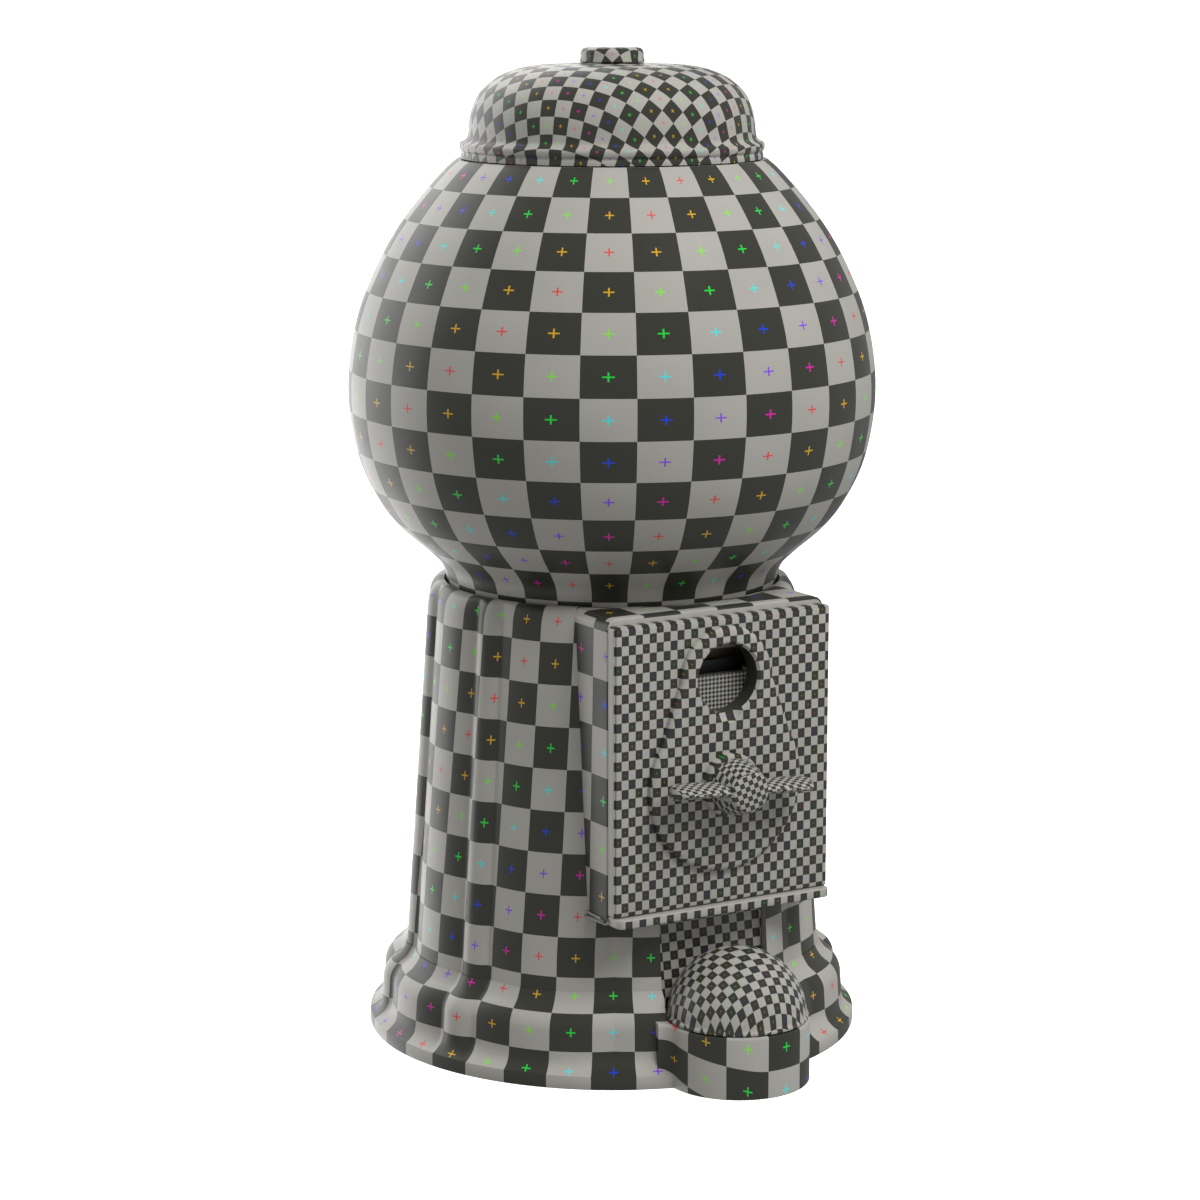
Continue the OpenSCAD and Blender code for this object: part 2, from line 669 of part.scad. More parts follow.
module ball_chute() color([0.82, 0.8, 0.7]) difference() {
    union() {
        intersection() {
            translate([outlet_x, outlet_y, 0]) rotate(run_turn) {
                run_strip(2 * run_half_w + 3.2)
                    polygon([[-13, run_z(-13)], [64, run_z(64)], [64, run_z(64) - 1.9], [-13, run_z(-13) - 1.9]]);
                for (s = [-1, 1]) translate([0, s * (run_half_w + 0.8), 0]) run_strip(1.6)
                    polygon([[-13, run_z(-13) - 1.9], [-13, 74], [12, 74], [16, run_z(16) + 16],
                        [64, run_z(64) + 14], [64, run_z(64) - 1.9]]);
                translate([-13.6, 0, 0]) run_strip_end();
            }
            block([-80, -64.6, 8], [80, 80, 130]);
        }
        translate([outlet_x, outlet_y, 72]) cylinder(r = 12.4, h = 46.7);
        translate([0, 0, 116.8]) linear_extrude(1.9) {
            translate([outlet_x, outlet_y]) circle(r = 12.4);
            for (s = [-1, 1]) rotate(-30) translate([pocket_pitch_r + s * 14.5, 0]) circle(r = 3.4);
        }
    }
    translate([outlet_x, outlet_y, 60]) cylinder(r = 10.8, h = 80);
    for (s = [-1, 1]) rotate(-30) translate([pocket_pitch_r + s * 14.5, 0, 110]) cylinder(r = 1.4, h = 12);
}

// closed back end of the run
module run_strip_end() {
    block([-0.8, -run_half_w - 1.6, run_z(-13) - 1.9], [0.8, run_half_w + 1.6, 74]);
}

module chute_screws() color([0.72, 0.72, 0.74])
    for (s = [-1, 1]) rotate(-30) translate([pocket_pitch_r + s * 14.5, 0, 116.7]) screw_up(1.2, 4.6, 2, 1.3);

module chute_plate() color([0.58, 0.58, 0.56]) difference() {
    union() {
        block([-23.4, chute_y, 9.2], [23.4, chute_y + chute_t, 61.8]);
        block([-27, chute_y + chute_t - eps, 26], [27, chute_y + chute_t + 2.4, 60]);
        // middle knuckle of the door's hinge
        rod_x(-3, hinge_y, hinge_z, 1.9, 6);
        block([-3, hinge_y, hinge_z - 1.9], [3, chute_y + eps, hinge_z + 1.9]);
    }
    slab_y(chute_y - 1, 12) {
        translate([-11, 8]) square([22, 12]);
        translate([0, 20]) circle(r = 11);
    }
    rod_x(-20, hinge_y, hinge_z, hinge_pin_r + 0.02, 40);
    for (p = chute_screw_spots) rod_y(p[0], -70, p[1], 1.4, 6);
}

// cylinder along +X from x0
module rod_x(x0, y, z, r, len) {
    translate([x0, y, z]) rotate([0, 90, 0]) cylinder(r = r, h = len);
}

module chute_plate_screws() color([0.72, 0.72, 0.74])
    for (p = chute_screw_spots) {
        rod_y(p[0], -73.6, p[1], 1.15, 7.1);
        rod_y(p[0], chute_y + chute_t + 2.42, p[1], 2.2, 1.4);
    }

module chute_door() color([0.58, 0.58, 0.56]) difference() {
    union() {
        difference() {
            union() {
                translate([0, cup_y, door_z]) sphere(r = door_r, $fn = 96);
                translate([0, cup_y, door_z]) cylinder(r = door_r + 0.5, h = 1.2);
            }
            translate([0, cup_y, door_z]) sphere(r = door_r - 1.6, $fn = 96);
            translate([0, cup_y, door_z - 40 + eps]) cylinder(r = 40, h = 40);
            block([-40, -73.9, 0], [40, -30, 80]);
        }
        pair() rod_x(3.3, hinge_y, hinge_z, 1.8, 3);
    }
    rod_x(-20, hinge_y, hinge_z, hinge_pin_r + 0.05, 40);
    block([-3.3, -78.4, hinge_z - 3], [3.3, -70, hinge_z + 8]);
}

module door_hinge_pin() color([0.75, 0.75, 0.77]) rod_x(-6.2, hinge_y, hinge_z, hinge_pin_r, 12.4);

body_casting();
base_plate();
base_screws();
rubber_feet();
center_rod();
rod_nut();
rod_washer();
lower_gasket();
globe();
upper_gasket();
lid();
lid_knob();
hopper();
wheel_housing();
housing_screws();
outlet_guard();
dispensing_wheel();
agitator();
drive_pinion();
spindle();
spindle_clip();
handle();
coin_wheel();
ratchet_wheel();
front_plate();
plate_screws();
mech_frame();
spacer_posts();
mech_screws();
pawl();
pawl_post();
pawl_spring();
ball_chute();
chute_screws();
chute_plate();
chute_plate_screws();
chute_door();
door_hinge_pin();
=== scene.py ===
import math
import bmesh
import bpy
import numpy as np
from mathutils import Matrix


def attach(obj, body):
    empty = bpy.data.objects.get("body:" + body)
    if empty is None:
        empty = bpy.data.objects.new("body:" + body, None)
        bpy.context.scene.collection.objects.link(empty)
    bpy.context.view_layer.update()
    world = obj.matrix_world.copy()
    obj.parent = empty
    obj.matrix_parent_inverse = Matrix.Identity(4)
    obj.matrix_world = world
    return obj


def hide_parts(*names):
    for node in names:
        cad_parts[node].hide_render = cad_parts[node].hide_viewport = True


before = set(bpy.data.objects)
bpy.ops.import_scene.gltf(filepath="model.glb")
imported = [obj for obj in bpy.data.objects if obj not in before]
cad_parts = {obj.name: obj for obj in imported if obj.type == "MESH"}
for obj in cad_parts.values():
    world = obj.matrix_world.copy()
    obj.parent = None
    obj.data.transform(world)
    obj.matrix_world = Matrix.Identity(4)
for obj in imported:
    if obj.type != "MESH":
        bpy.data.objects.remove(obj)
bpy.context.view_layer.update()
scene = bpy.context.scene
mm = 0.001
uvName = "grid"


# small helpers
def linear(hexText):
    values = [int(hexText[i:i + 2], 16) / 255 for i in (0, 2, 4)]
    return tuple(v / 12.92 if v <= 0.04045 else ((v + 0.055) / 1.055) ** 2.4 for v in values) + (1.0,)


def add(tree, kind, settings=None, feeds=None):
    # a feed is a plain value, a socket, a node for its first output, or a list of sockets and nodes
    node = tree.nodes.new(kind)
    for key, value in (settings or {}).items():
        setattr(node, key, value)
    for key, value in (feeds or {}).items():
        for one in value if isinstance(value, list) else [value]:
            one = one.outputs[0] if isinstance(one, bpy.types.Node) else one
            if isinstance(one, bpy.types.NodeSocket):
                tree.links.new(one, node.inputs[key])
            else:
                node.inputs[key].default_value = one
    return node


def newPiece(name, points, faces):
    mesh = bpy.data.meshes.new(name)
    mesh.from_pydata([tuple(p) for p in np.asarray(points, float) * mm], [], faces)
    mesh.update()
    piece = bpy.data.objects.new(name, mesh)
    scene.collection.objects.link(piece)
    return piece


def tidyMesh(piece, angle=None):
    # merges poles, turns the faces outwards, and smooths all but the crisp edges
    work = bmesh.new()
    work.from_mesh(piece.data)
    bmesh.ops.remove_doubles(work, verts=work.verts, dist=2e-6)
    bmesh.ops.dissolve_degenerate(work, edges=work.edges, dist=1e-7)
    bmesh.ops.recalc_face_normals(work, faces=work.faces)
    work.to_mesh(piece.data)
    work.free()
    if angle is not None:
        piece.data.polygons.foreach_set("use_smooth", [True] * len(piece.data.polygons))
        piece.data.set_sharp_from_angle(angle=math.radians(angle))
    return piece


def settle(piece):
    # turns the piece and its modifiers into a plain mesh
    bpy.context.view_layer.update()
    graph = bpy.context.evaluated_depsgraph_get()
    made = bpy.data.meshes.new_from_object(piece.evaluated_get(graph))
    piece.modifiers.clear()
    old = piece.data
    piece.data = made
    bpy.data.meshes.remove(old)
    made.name = piece.name
    return piece


def combine(piece, others, operation):
    group = bpy.data.collections.new("tools")
    for other in others:
        group.objects.link(other)
    modifier = piece.modifiers.new("combine", "BOOLEAN")
    modifier.operation = operation
    modifier.solver = "EXACT"
    modifier.operand_type = "COLLECTION"
    modifier.collection = group
    settle(piece)
    for other in others:
        bpy.data.objects.remove(other)
    bpy.data.collections.remove(group)
    return piece


def soften(piece, width, segments=2, angle=35):
    modifier = piece.modifiers.new("soften", "BEVEL")
    modifier.width = width * mm
    modifier.segments = segments
    modifier.limit_method = "ANGLE"
    modifier.angle_limit = math.radians(angle)
    modifier.use_clamp_overlap = True
    return settle(piece)


def paintGrid(piece, place):
    # place takes every face corner's point, face normal and face centre in mm, and gives the print's cell coordinates
    mesh = piece.data
    layer = mesh.uv_layers.get(uvName) or mesh.uv_layers.new(name=uvName)
    points = np.zeros(len(mesh.vertices) * 3)
    mesh.vertices.foreach_get("co", points)
    points = points.reshape(-1, 3) / mm
    corner = np.zeros(len(mesh.loops), int)
    mesh.loops.foreach_get("vertex_index", corner)
    sizes = np.array([p.loop_total for p in mesh.polygons])
    normals = np.array([p.normal[:] for p in mesh.polygons])
    spots = np.repeat(np.arange(len(sizes)), sizes)
    centres = np.zeros((len(sizes), 3))
    np.add.at(centres, spots, points[corner])
    centres /= sizes[:, None]
    cells = place(points[corner], normals[spots], centres[spots])
    layer.data.foreach_set("uv", np.asarray(cells, float).ravel())
    return piece


def sheetOf(name, rows, cells=None, closed=False, caps=True):
    # rows of points round an axis become a skin; cells holds the print's coordinates, one column more than rows
    rows = np.asarray(rows, float)
    count, across = rows.shape[:2]
    faces, corners = [], []
    for j in range(count if closed else count - 1):
        k = (j + 1) % count
        for i in range(across):
            n = (i + 1) % across
            faces.append((j * across + i, j * across + n, k * across + n, k * across + i))
            corners.append(((j, i), (j, i + 1), (k, i + 1), (k, i)))
    if caps and not closed:
        faces.append(tuple(range(across - 1, -1, -1)))
        corners.append(tuple((0, i) for i in range(across - 1, -1, -1)))
        faces.append(tuple((count - 1) * across + i for i in range(across)))
        corners.append(tuple((count - 1, i) for i in range(across)))
    piece = newPiece(name, rows.reshape(-1, 3), faces)
    if cells is not None:
        layer = piece.data.uv_layers.new(name=uvName)
        flat = [cells[j][i] for face in corners for j, i in face]
        layer.data.foreach_set("uv", np.asarray(flat, float).ravel())
    return piece


def smoothCurve(points, steps):
    # a Catmull-Rom curve through the points
    points = np.asarray(points, float)
    made = []
    for i in range(len(points) - 1):
        a, b = points[max(i - 1, 0)], points[i]
        c, d = points[i + 1], points[min(i + 2, len(points) - 1)]
        for t in np.arange(steps) / steps:
            made.append(0.5 * (2 * b + (c - a) * t + (2 * a - 5 * b + 4 * c - d) * t ** 2
                               + (3 * b - a - 3 * c + d) * t ** 3))
    made.append(points[-1])
    return np.array(made)


def inset(curve, depth):
    run = np.gradient(curve, axis=0)
    run /= np.linalg.norm(run, axis=1)[:, None]
    return curve - depth * np.stack([run[:, 1], -run[:, 0]], 1)


def lengthAlong(curve):
    steps = np.linalg.norm(np.diff(curve, axis=0), axis=1)
    return np.concatenate([[0], np.cumsum(steps)])


def roundAbout(name, outline, cellsAt, steps=192, centreY=0.0):
    # a closed outline of (radius, height) turned about the upright axis; the join is at the back
    outline = np.asarray(outline, float)
    turn = np.radians(np.linspace(-180, 180, steps + 1))
    rows = [[(r * math.sin(t), centreY - r * math.cos(t), z) for t in turn[:-1]] for r, z in outline]
    cells = cellsAt(outline, turn)
    return tidyMesh(sheetOf(name, rows, cells, closed=True), 38)


def prism(name, outline, low, high, axis="z"):
    # an outline pushed along z, or along y for one drawn as seen from the front
    outline = np.asarray(outline, float)
    flat = {"z": lambda h: np.column_stack([outline, np.full(len(outline), h)]),
            "y": lambda h: np.column_stack([outline[:, 0], np.full(len(outline), h), outline[:, 1]])}[axis]
    return tidyMesh(sheetOf(name, [flat(low), flat(high)]))


def block(name, low, high):
    (x0, y0, z0), (x1, y1, z1) = low, high
    return prism(name, [(x0, y0), (x1, y0), (x1, y1), (x0, y1)], z0, z1)


def disc(x, z, r, steps=72):
    turn = np.radians(np.arange(steps) * 360 / steps)
    return np.column_stack([x + r * np.cos(turn), z + r * np.sin(turn)])


def roundedBox(x0, z0, x1, z1, r, steps=6):
    made = []
    for cx, cz, start in ((x1 - r, z1 - r, 0), (x0 + r, z1 - r, 90), (x0 + r, z0 + r, 180), (x1 - r, z0 + r, 270)):
        for t in np.radians(start + np.linspace(0, 90, steps + 1)):
            made.append((cx + r * math.cos(t), cz + r * math.sin(t)))
    return np.array(made)


# the printed squares: a satin film over primed metal, light and dark cells with a coloured cross in each
gridPrint = {"light": "A6A49D", "dark": "31312A", "crossLength": 7 / 32, "crossWidth": 0.034,
             "roughness": (0.34, 0.46), "peel": 1.4, "peelDepth": 0.01}  # the film is wavy over a millimetre or so


def printedFinish(name, flatCells=None, inkShare=0.85):
    # flatCells gives a straight projection on Object coordinates: (cell mm, turn in degrees, offset)
    # inkShare is how fully the crosses cover the cells beneath them
    material = bpy.data.materials.new(name)
    material.use_nodes = True
    tree = material.node_tree
    tree.nodes.clear()
    place = add(tree, "ShaderNodeTexCoord")
    if flatCells:
        size, turn, shift = flatCells
        scale = 1 / (size * mm)
        moved = add(tree, "ShaderNodeMapping", None, {
            "Vector": place.outputs["Object"], "Location": shift,
            "Rotation": (0, math.radians(turn), 0), "Scale": (scale, scale, scale)})
        parts = add(tree, "ShaderNodeSeparateXYZ", None, {0: moved.outputs[0]})
        u, v = parts.outputs[0], parts.outputs[2]
    else:
        parts = add(tree, "ShaderNodeSeparateXYZ", None, {
            0: add(tree, "ShaderNodeUVMap", {"uv_map": uvName}).outputs[0]})
        u, v = parts.outputs[0], parts.outputs[1]
    # the diagonal a cell lies on, counted to eight, gives its shade and its cross's hue
    whole, middle = [], []
    for side in (u, v):
        whole.append(add(tree, "ShaderNodeMath", {"operation": "FLOOR"}, {0: side}))
        part = add(tree, "ShaderNodeMath", {"operation": "FRACT"}, {0: side})
        offset = add(tree, "ShaderNodeMath", {"operation": "SUBTRACT"}, {0: part, 1: 0.5})
        middle.append(add(tree, "ShaderNodeMath", {"operation": "ABSOLUTE"}, {0: offset}))
    apart = add(tree, "ShaderNodeMath", {"operation": "SUBTRACT"}, {0: whole[0], 1: whole[1]})
    diagonal = add(tree, "ShaderNodeMath", {"operation": "ABSOLUTE"}, {0: apart})
    count = add(tree, "ShaderNodeMath", {"operation": "MODULO"}, {0: diagonal, 1: 8.0})
    dark = add(tree, "ShaderNodeMath", {"operation": "MODULO"}, {0: count, 1: 2.0})
    reach, thick = gridPrint["crossLength"] / 2, gridPrint["crossWidth"] / 2
    bars = []
    for long, short in (middle, middle[::-1]):
        near = add(tree, "ShaderNodeMath", {"operation": "LESS_THAN"}, {0: long, 1: reach})
        thin = add(tree, "ShaderNodeMath", {"operation": "LESS_THAN"}, {0: short, 1: thick})
        bars.append(add(tree, "ShaderNodeMath", {"operation": "MULTIPLY"}, {0: near, 1: thin}))
    plus = add(tree, "ShaderNodeMath", {"operation": "MAXIMUM"}, {0: bars[0], 1: bars[1]})
    cross = add(tree, "ShaderNodeMath", {"operation": "MULTIPLY"}, {0: plus, 1: inkShare})
    share = add(tree, "ShaderNodeMath", {"operation": "DIVIDE"}, {0: count, 1: 8.0})
    hue = add(tree, "ShaderNodeCombineColor", {"mode": "HSV"}, {0: share, 1: 0.95, 2: 0.88})
    ink = add(tree, "ShaderNodeGamma", None, {0: hue.outputs[0], 1: 2.2})
    cell = add(tree, "ShaderNodeMix", {"data_type": "RGBA"}, {
        0: dark, 6: linear(gridPrint["light"]), 7: linear(gridPrint["dark"])})
    inked = add(tree, "ShaderNodeMix", {"data_type": "RGBA"}, {
        0: cross, 6: cell.outputs[2], 7: ink.outputs[0]})
    # faint clouding of the film, tens of millimetres wide, and the fine orange peel of the coat beneath it
    cloud = add(tree, "ShaderNodeTexNoise", None, {
        "Vector": place.outputs["Object"], "Scale": 1 / (28 * mm), "Detail": 3.0})
    peel = add(tree, "ShaderNodeTexNoise", None, {
        "Vector": place.outputs["Object"], "Scale": 1 / (gridPrint["peel"] * mm), "Detail": 2.0})
    shade = add(tree, "ShaderNodeMapRange", None, {0: cloud.outputs[0], 1: 0.3, 2: 0.7, 3: 0.965, 4: 1.035})
    tinted = add(tree, "ShaderNodeMix", {"data_type": "RGBA", "blend_type": "MULTIPLY"}, {
        0: 1.0, 6: inked.outputs[2],
        7: add(tree, "ShaderNodeCombineColor", None, {i: shade.outputs[0] for i in range(3)}).outputs[0]})
    low, high = gridPrint["roughness"]
    rough = add(tree, "ShaderNodeMapRange", None, {0: cloud.outputs[0], 1: 0.3, 2: 0.7, 3: low, 4: high})
    bump = add(tree, "ShaderNodeBump", None, {
        "Height": peel.outputs[0], "Distance": gridPrint["peelDepth"] * mm, "Strength": 0.6})
    shader = add(tree, "ShaderNodeBsdfPrincipled", None, {
        "Base Color": tinted.outputs[2], "Roughness": rough.outputs[0], "Normal": bump.outputs[0],
        "IOR": 1.5, "Specular IOR Level": 0.5})
    add(tree, "ShaderNodeOutputMaterial", None, {0: shader.outputs[0]})
    return material


# what the hidden parts are made of: colours from light to dark, then roughness, metallic and grain in mm
finishes = {
    "zinc-plated steel, bright": {"colours": ("B9BBBC", "8F9294"), "roughness": (0.26, 0.42), "metallic": 1.0,
                                  "grain": 3.0, "stretch": (1, 1, 1), "bump": 0.01},
    "cold-rolled steel, brushed": {"colours": ("8E8F90", "66686A"), "roughness": (0.34, 0.52), "metallic": 1.0,
                                   "grain": 1.2, "stretch": (0.06, 1, 1), "bump": 0.015},
    "brass, machined": {"colours": ("C6A15A", "9A7636"), "roughness": (0.22, 0.38), "metallic": 1.0,
                        "grain": 1.0, "stretch": (1, 0.1, 1), "bump": 0.008},
    "nylon, moulded natural": {"colours": ("DEDCCF", "C6C3B4"), "roughness": (0.42, 0.56), "metallic": 0.0,
                               "grain": 2.2, "stretch": (1, 1, 1), "bump": 0.02},
    "polystyrene, moulded cream": {"colours": ("DCD2B4", "C2B791"), "roughness": (0.34, 0.48), "metallic": 0.0,
                                   "grain": 2.6, "stretch": (1, 1, 1), "bump": 0.02},
    "rubber, moulded black": {"colours": ("262625", "151514"), "roughness": (0.62, 0.8), "metallic": 0.0,
                              "grain": 0.8, "stretch": (1, 1, 1), "bump": 0.04},
}


def plainFinish(name):
    # a fine grain drives colour, gloss and relief; metals keep the default IOR
    look = finishes[name]
    material = bpy.data.materials.new(name)
    material.use_nodes = True
    tree = material.node_tree
    tree.nodes.clear()
    place = add(tree, "ShaderNodeTexCoord")
    scale = tuple(s / (look["grain"] * mm) for s in look["stretch"])
    laid = add(tree, "ShaderNodeMapping", None, {"Vector": place.outputs["Object"], "Scale": scale})
    grain = add(tree, "ShaderNodeTexNoise", None, {"Vector": laid.outputs[0], "Scale": 1.0, "Detail": 4.0})
    cloud = add(tree, "ShaderNodeTexNoise", None, {
        "Vector": place.outputs["Object"], "Scale": 1 / (18 * mm), "Detail": 2.0})
    halves = [add(tree, "ShaderNodeMath", {"operation": "MULTIPLY"}, {0: noise, 1: 0.5}) for noise in (grain, cloud)]
    mixed = add(tree, "ShaderNodeMath", {"operation": "ADD"}, {0: halves[0], 1: halves[1]})
    share = add(tree, "ShaderNodeMapRange", None, {0: mixed, 1: 0.35, 2: 0.65, 3: 0.0, 4: 1.0})
    light, dark = (linear(c) for c in look["colours"])
    colour = add(tree, "ShaderNodeMix", {"data_type": "RGBA"}, {0: share.outputs[0], 6: light, 7: dark})
    low, high = look["roughness"]
    rough = add(tree, "ShaderNodeMapRange", None, {0: share.outputs[0], 1: 0.0, 2: 1.0, 3: low, 4: high})
    bump = add(tree, "ShaderNodeBump", None, {
        "Height": grain.outputs[0], "Distance": look["bump"] * mm, "Strength": 0.6})
    shader = add(tree, "ShaderNodeBsdfPrincipled", None, {
        "Base Color": colour.outputs[2], "Roughness": rough.outputs[0], "Metallic": look["metallic"],
        "Normal": bump.outputs[0]})
    add(tree, "ShaderNodeOutputMaterial", None, {0: shader.outputs[0]})
    return material


wrapPrint = printedFinish("satin printed film on enamel")
finePrint = printedFinish("satin printed film, fine cells", None, 0.5)
hidden = {name: plainFinish(name) for name in finishes}
print("finishes ready")


def finishPiece(piece, body, nodes, material=None, angle=38):
    tidyMesh(piece, angle)
    piece.data.materials.clear()
    piece.data.materials.append(material or wrapPrint)
    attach(piece, body)
    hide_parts(*nodes)
    return piece


view = {"place": (-0.6633, -1.1260, 0.4145), "pitch": 79.306, "turn": -30.30, "angle": 20.0}


def stageIt():
    lens = bpy.data.cameras.new("camera")
    lens.angle = math.radians(view["angle"])
    lens.clip_end = 50
    camera = bpy.data.objects.new("camera", lens)
    camera.location = view["place"]
    camera.rotation_euler = (math.radians(view["pitch"]), 0, math.radians(view["turn"]))
    scene.collection.objects.link(camera)
    scene.camera = camera
    scene.view_settings.view_transform = "Standard"

    sky = bpy.data.worlds.new("studio")
    scene.world = sky
    sky.use_nodes = True
    sky.node_tree.nodes["Background"].inputs[0].default_value = (1.0, 1.0, 1.0, 1.0)
    sky.node_tree.nodes["Background"].inputs[1].default_value = lights["sky"]
    for name, (place, size, power) in lights["lamps"].items():
        lamp = bpy.data.lights.new(name, "AREA")
        lamp.shape = "DISK"
        lamp.size = size
        lamp.energy = power
        holder = bpy.data.objects.new(name, lamp)
        holder.location = place
        aim = np.array([0, 0, 0.2]) - np.array(place)
        length = np.linalg.norm(aim)
        holder.rotation_euler = (math.acos(-aim[2] / length), 0, math.atan2(aim[0], -aim[1]) + math.pi)
        holder.visible_camera = False
        holder.visible_glossy = name != "key light"  # soft all over: it leaves no bright spot
        scene.collection.objects.link(holder)

    # a round sheet of paper that turns up all round; it shows, but it doesn't shade or tint the machine
    line = [(0, 0), (1500, 0), (5000, 0)]
    line += [(5000 + 2000 * math.sin(t), 2000 - 2000 * math.cos(t)) for t in np.radians(np.linspace(6, 90, 15))]
    line += [(7000, 9000)]
    turn = np.radians(np.arange(96) * 3.75)
    rows = [[(r * math.cos(t), r * math.sin(t), z) for t in turn] for r, z in line]
    sweep = tidyMesh(sheetOf("floor", rows, caps=False), 60)
    sweep.visible_diffuse = False
    sweep.visible_glossy = False
    sweep.visible_shadow = False
    paper = bpy.data.materials.new("matt white paper")
    paper.use_nodes = True
    shader = paper.node_tree.nodes["Principled BSDF"]
    shader.inputs["Base Color"].default_value = linear("F6F6F4")
    shader.inputs["Roughness"].default_value = 0.9
    shader.inputs["Specular IOR Level"].default_value = 0.0
    shader.inputs["Emission Color"].default_value = (1.0, 1.0, 1.0, 1.0)
    shader.inputs["Emission Strength"].default_value = lights["paper"]
    sweep.data.materials.append(paper)


lights = {"sky": 0.42, "paper": 0.75,
          "lamps": {"key light": ((0.5, -1.6, 2.3), 1.4, 62.0), "back wall": ((-0.6, 3.1, 0.6), 6.0, 160.0)}}
stageIt()
print("stage ready")


globe = {"radius": 101.6, "height": 252, "wall": 2.5, "collar": 169.5, "shoulder": 339.2, "throat": 49,
         "column": 11.707, "row": 15.49, "firstColumn": -31.19}


def globeShell():
    r, h = globe["radius"], globe["height"]
    line = [(63.6, globe["collar"]), (64, 175), (64.9, 180), (67, 185), (73.6, 191.4), (82.3, 199),
            (89.5, h - 44.1), (96.5, h - 30.3), (r - 1.35, h - 15.5), (r, h), (r - 1.35, h + 15.5),
            (96.8, h + 30.5), (90.9, h + 45), (83.6, h + 58.6), (74.6, h + 71), (64.4, h + 82.6),
            (59.2, globe["shoulder"])]
    outer = smoothCurve(line, 5)
    inner = inset(smoothCurve(line, 3), globe["wall"])[::-1]
    throat, shoulder = globe["throat"], globe["shoulder"]
    lip, thick = shoulder + 7.6, globe["wall"]
    neck = [(throat + thick, shoulder), (throat + thick, lip), (throat, lip), (throat, shoulder - 2.8)]
    outline = np.vstack([outer, neck, inner])
    belt = np.interp(h, outer[:, 1], lengthAlong(outer))

    def cells(outline, turn):
        along = lengthAlong(outline) - belt
        u = (np.degrees(turn) - globe["firstColumn"]) / globe["column"] + 4.5
        return [[(a, s / globe["row"] + 0.5) for a in u] for s in along]
    piece = roundAbout("printedGlobe", outline, cells)
    return finishPiece(piece, "stand", ["globe"])


lid = {"crown": 375.2, "cell": (6.52, 6.66), "turn": 34.8, "shift": (0.3599, 0.2277)}


def discCells(look, flatten=(0.0, 0.0), centreY=0.0):
    # the print laid from the crown outwards: arc length from the middle, turned by an angle
    def cells(outline, turn):
        outline = np.asarray(outline)
        start = np.array([[0, outline[0, 1]]])
        along = lengthAlong(np.vstack([start, outline]))[1:]
        full = look.get("full", along.max())
        share = along / full
        radius = full * (share + flatten[0] * share ** 2 + flatten[1] * share ** 3)
        rows = []
        c, s = math.cos(math.radians(look["turn"])), math.sin(math.radians(look["turn"]))
        for r in radius:
            a, b = r * np.sin(turn), -r * np.cos(turn)
            u = (c * a + s * b) / look["cell"][0] + look["shift"][0]
            v = (-s * a + c * b) / look["cell"][1] + look["shift"][1]
            rows.append(np.column_stack([u, v]))
        return rows
    return cells


def lidShell():
    crown = [(4.4, lid["crown"]), (12.3, lid["crown"]), (28, 374.4), (33.8, 373.5), (39.5, 371.9), (44, 369.7),
             (48.1, 366.6), (50.7, 363.6), (52.3, 360.6), (53.4, 357.6), (54.2, 354), (54.7, 349.4), (55.2, 347.2),
             (56.5, 346), (57.7, 345.4), (58.1, 344.4), (57.9, 343), (57.3, 342), (57.6, 341), (57.7, 339.6)]
    inside = [(56.5, 339.6), (56.5, 341), (52.1, 341), (52.1, 349), (51.6, 354), (50.8, 357.4), (49.6, 360),
              (48, 362.6), (45.6, 365.2), (41.6, 367.8), (37.8, 369.4), (32.8, 370.6), (12, 372.1), (4.4, 372.2)]
    outline = np.vstack([smoothCurve(crown, 4), inside])
    piece = roundAbout("lidCover", outline, discCells(lid))
    return finishPiece(piece, "lid", ["lid"])


knob = {"base": 375.5, "top": 381.0, "radius": 12.0, "bore": 4.06, "cell": (4.7, 4.7), "turn": 15,
        "shift": (0.5, 0.5)}


def lidKnob():
    r, low, top = knob["radius"], knob["base"], knob["top"]
    outer = [(0, top), (3, top), (6, top), (r - 2.2, top), (r - 1.1, top - 0.25), (r - 0.35, top - 0.9),
             (r, top - 1.9), (r, low + 1.4), (r + 0.3, low + 0.8), (r + 0.3, low + 0.3), (r, low)]
    inner = [(knob["bore"], low), (knob["bore"], low + 4.2), (0, low + 4.2)]
    outline = np.vstack([outer, inner])
    piece = roundAbout("lidKnob", outline, discCells(knob), steps=96)
    return finishPiece(piece, "knob", ["lid_knob"])


globeShell()
lidShell()
lidKnob()
print("globe and lid made")


casting = {"grooves": [-30, 30, 66.875, 76.875, 105, 115, 150, 210, 245, 255, 283.125, 293.125, 330],
           "step": 0.625, "soft": 0.7, "jump": 19,
           "column": 10.15, "slant": 3.6, "row": 15.88, "footRow": 14.7, "box": 47.3, "front": -77.3, "top": 177.4,
           "cupY": -93, "cupR": 27.3, "rim": 24, "bowl": 24.6}
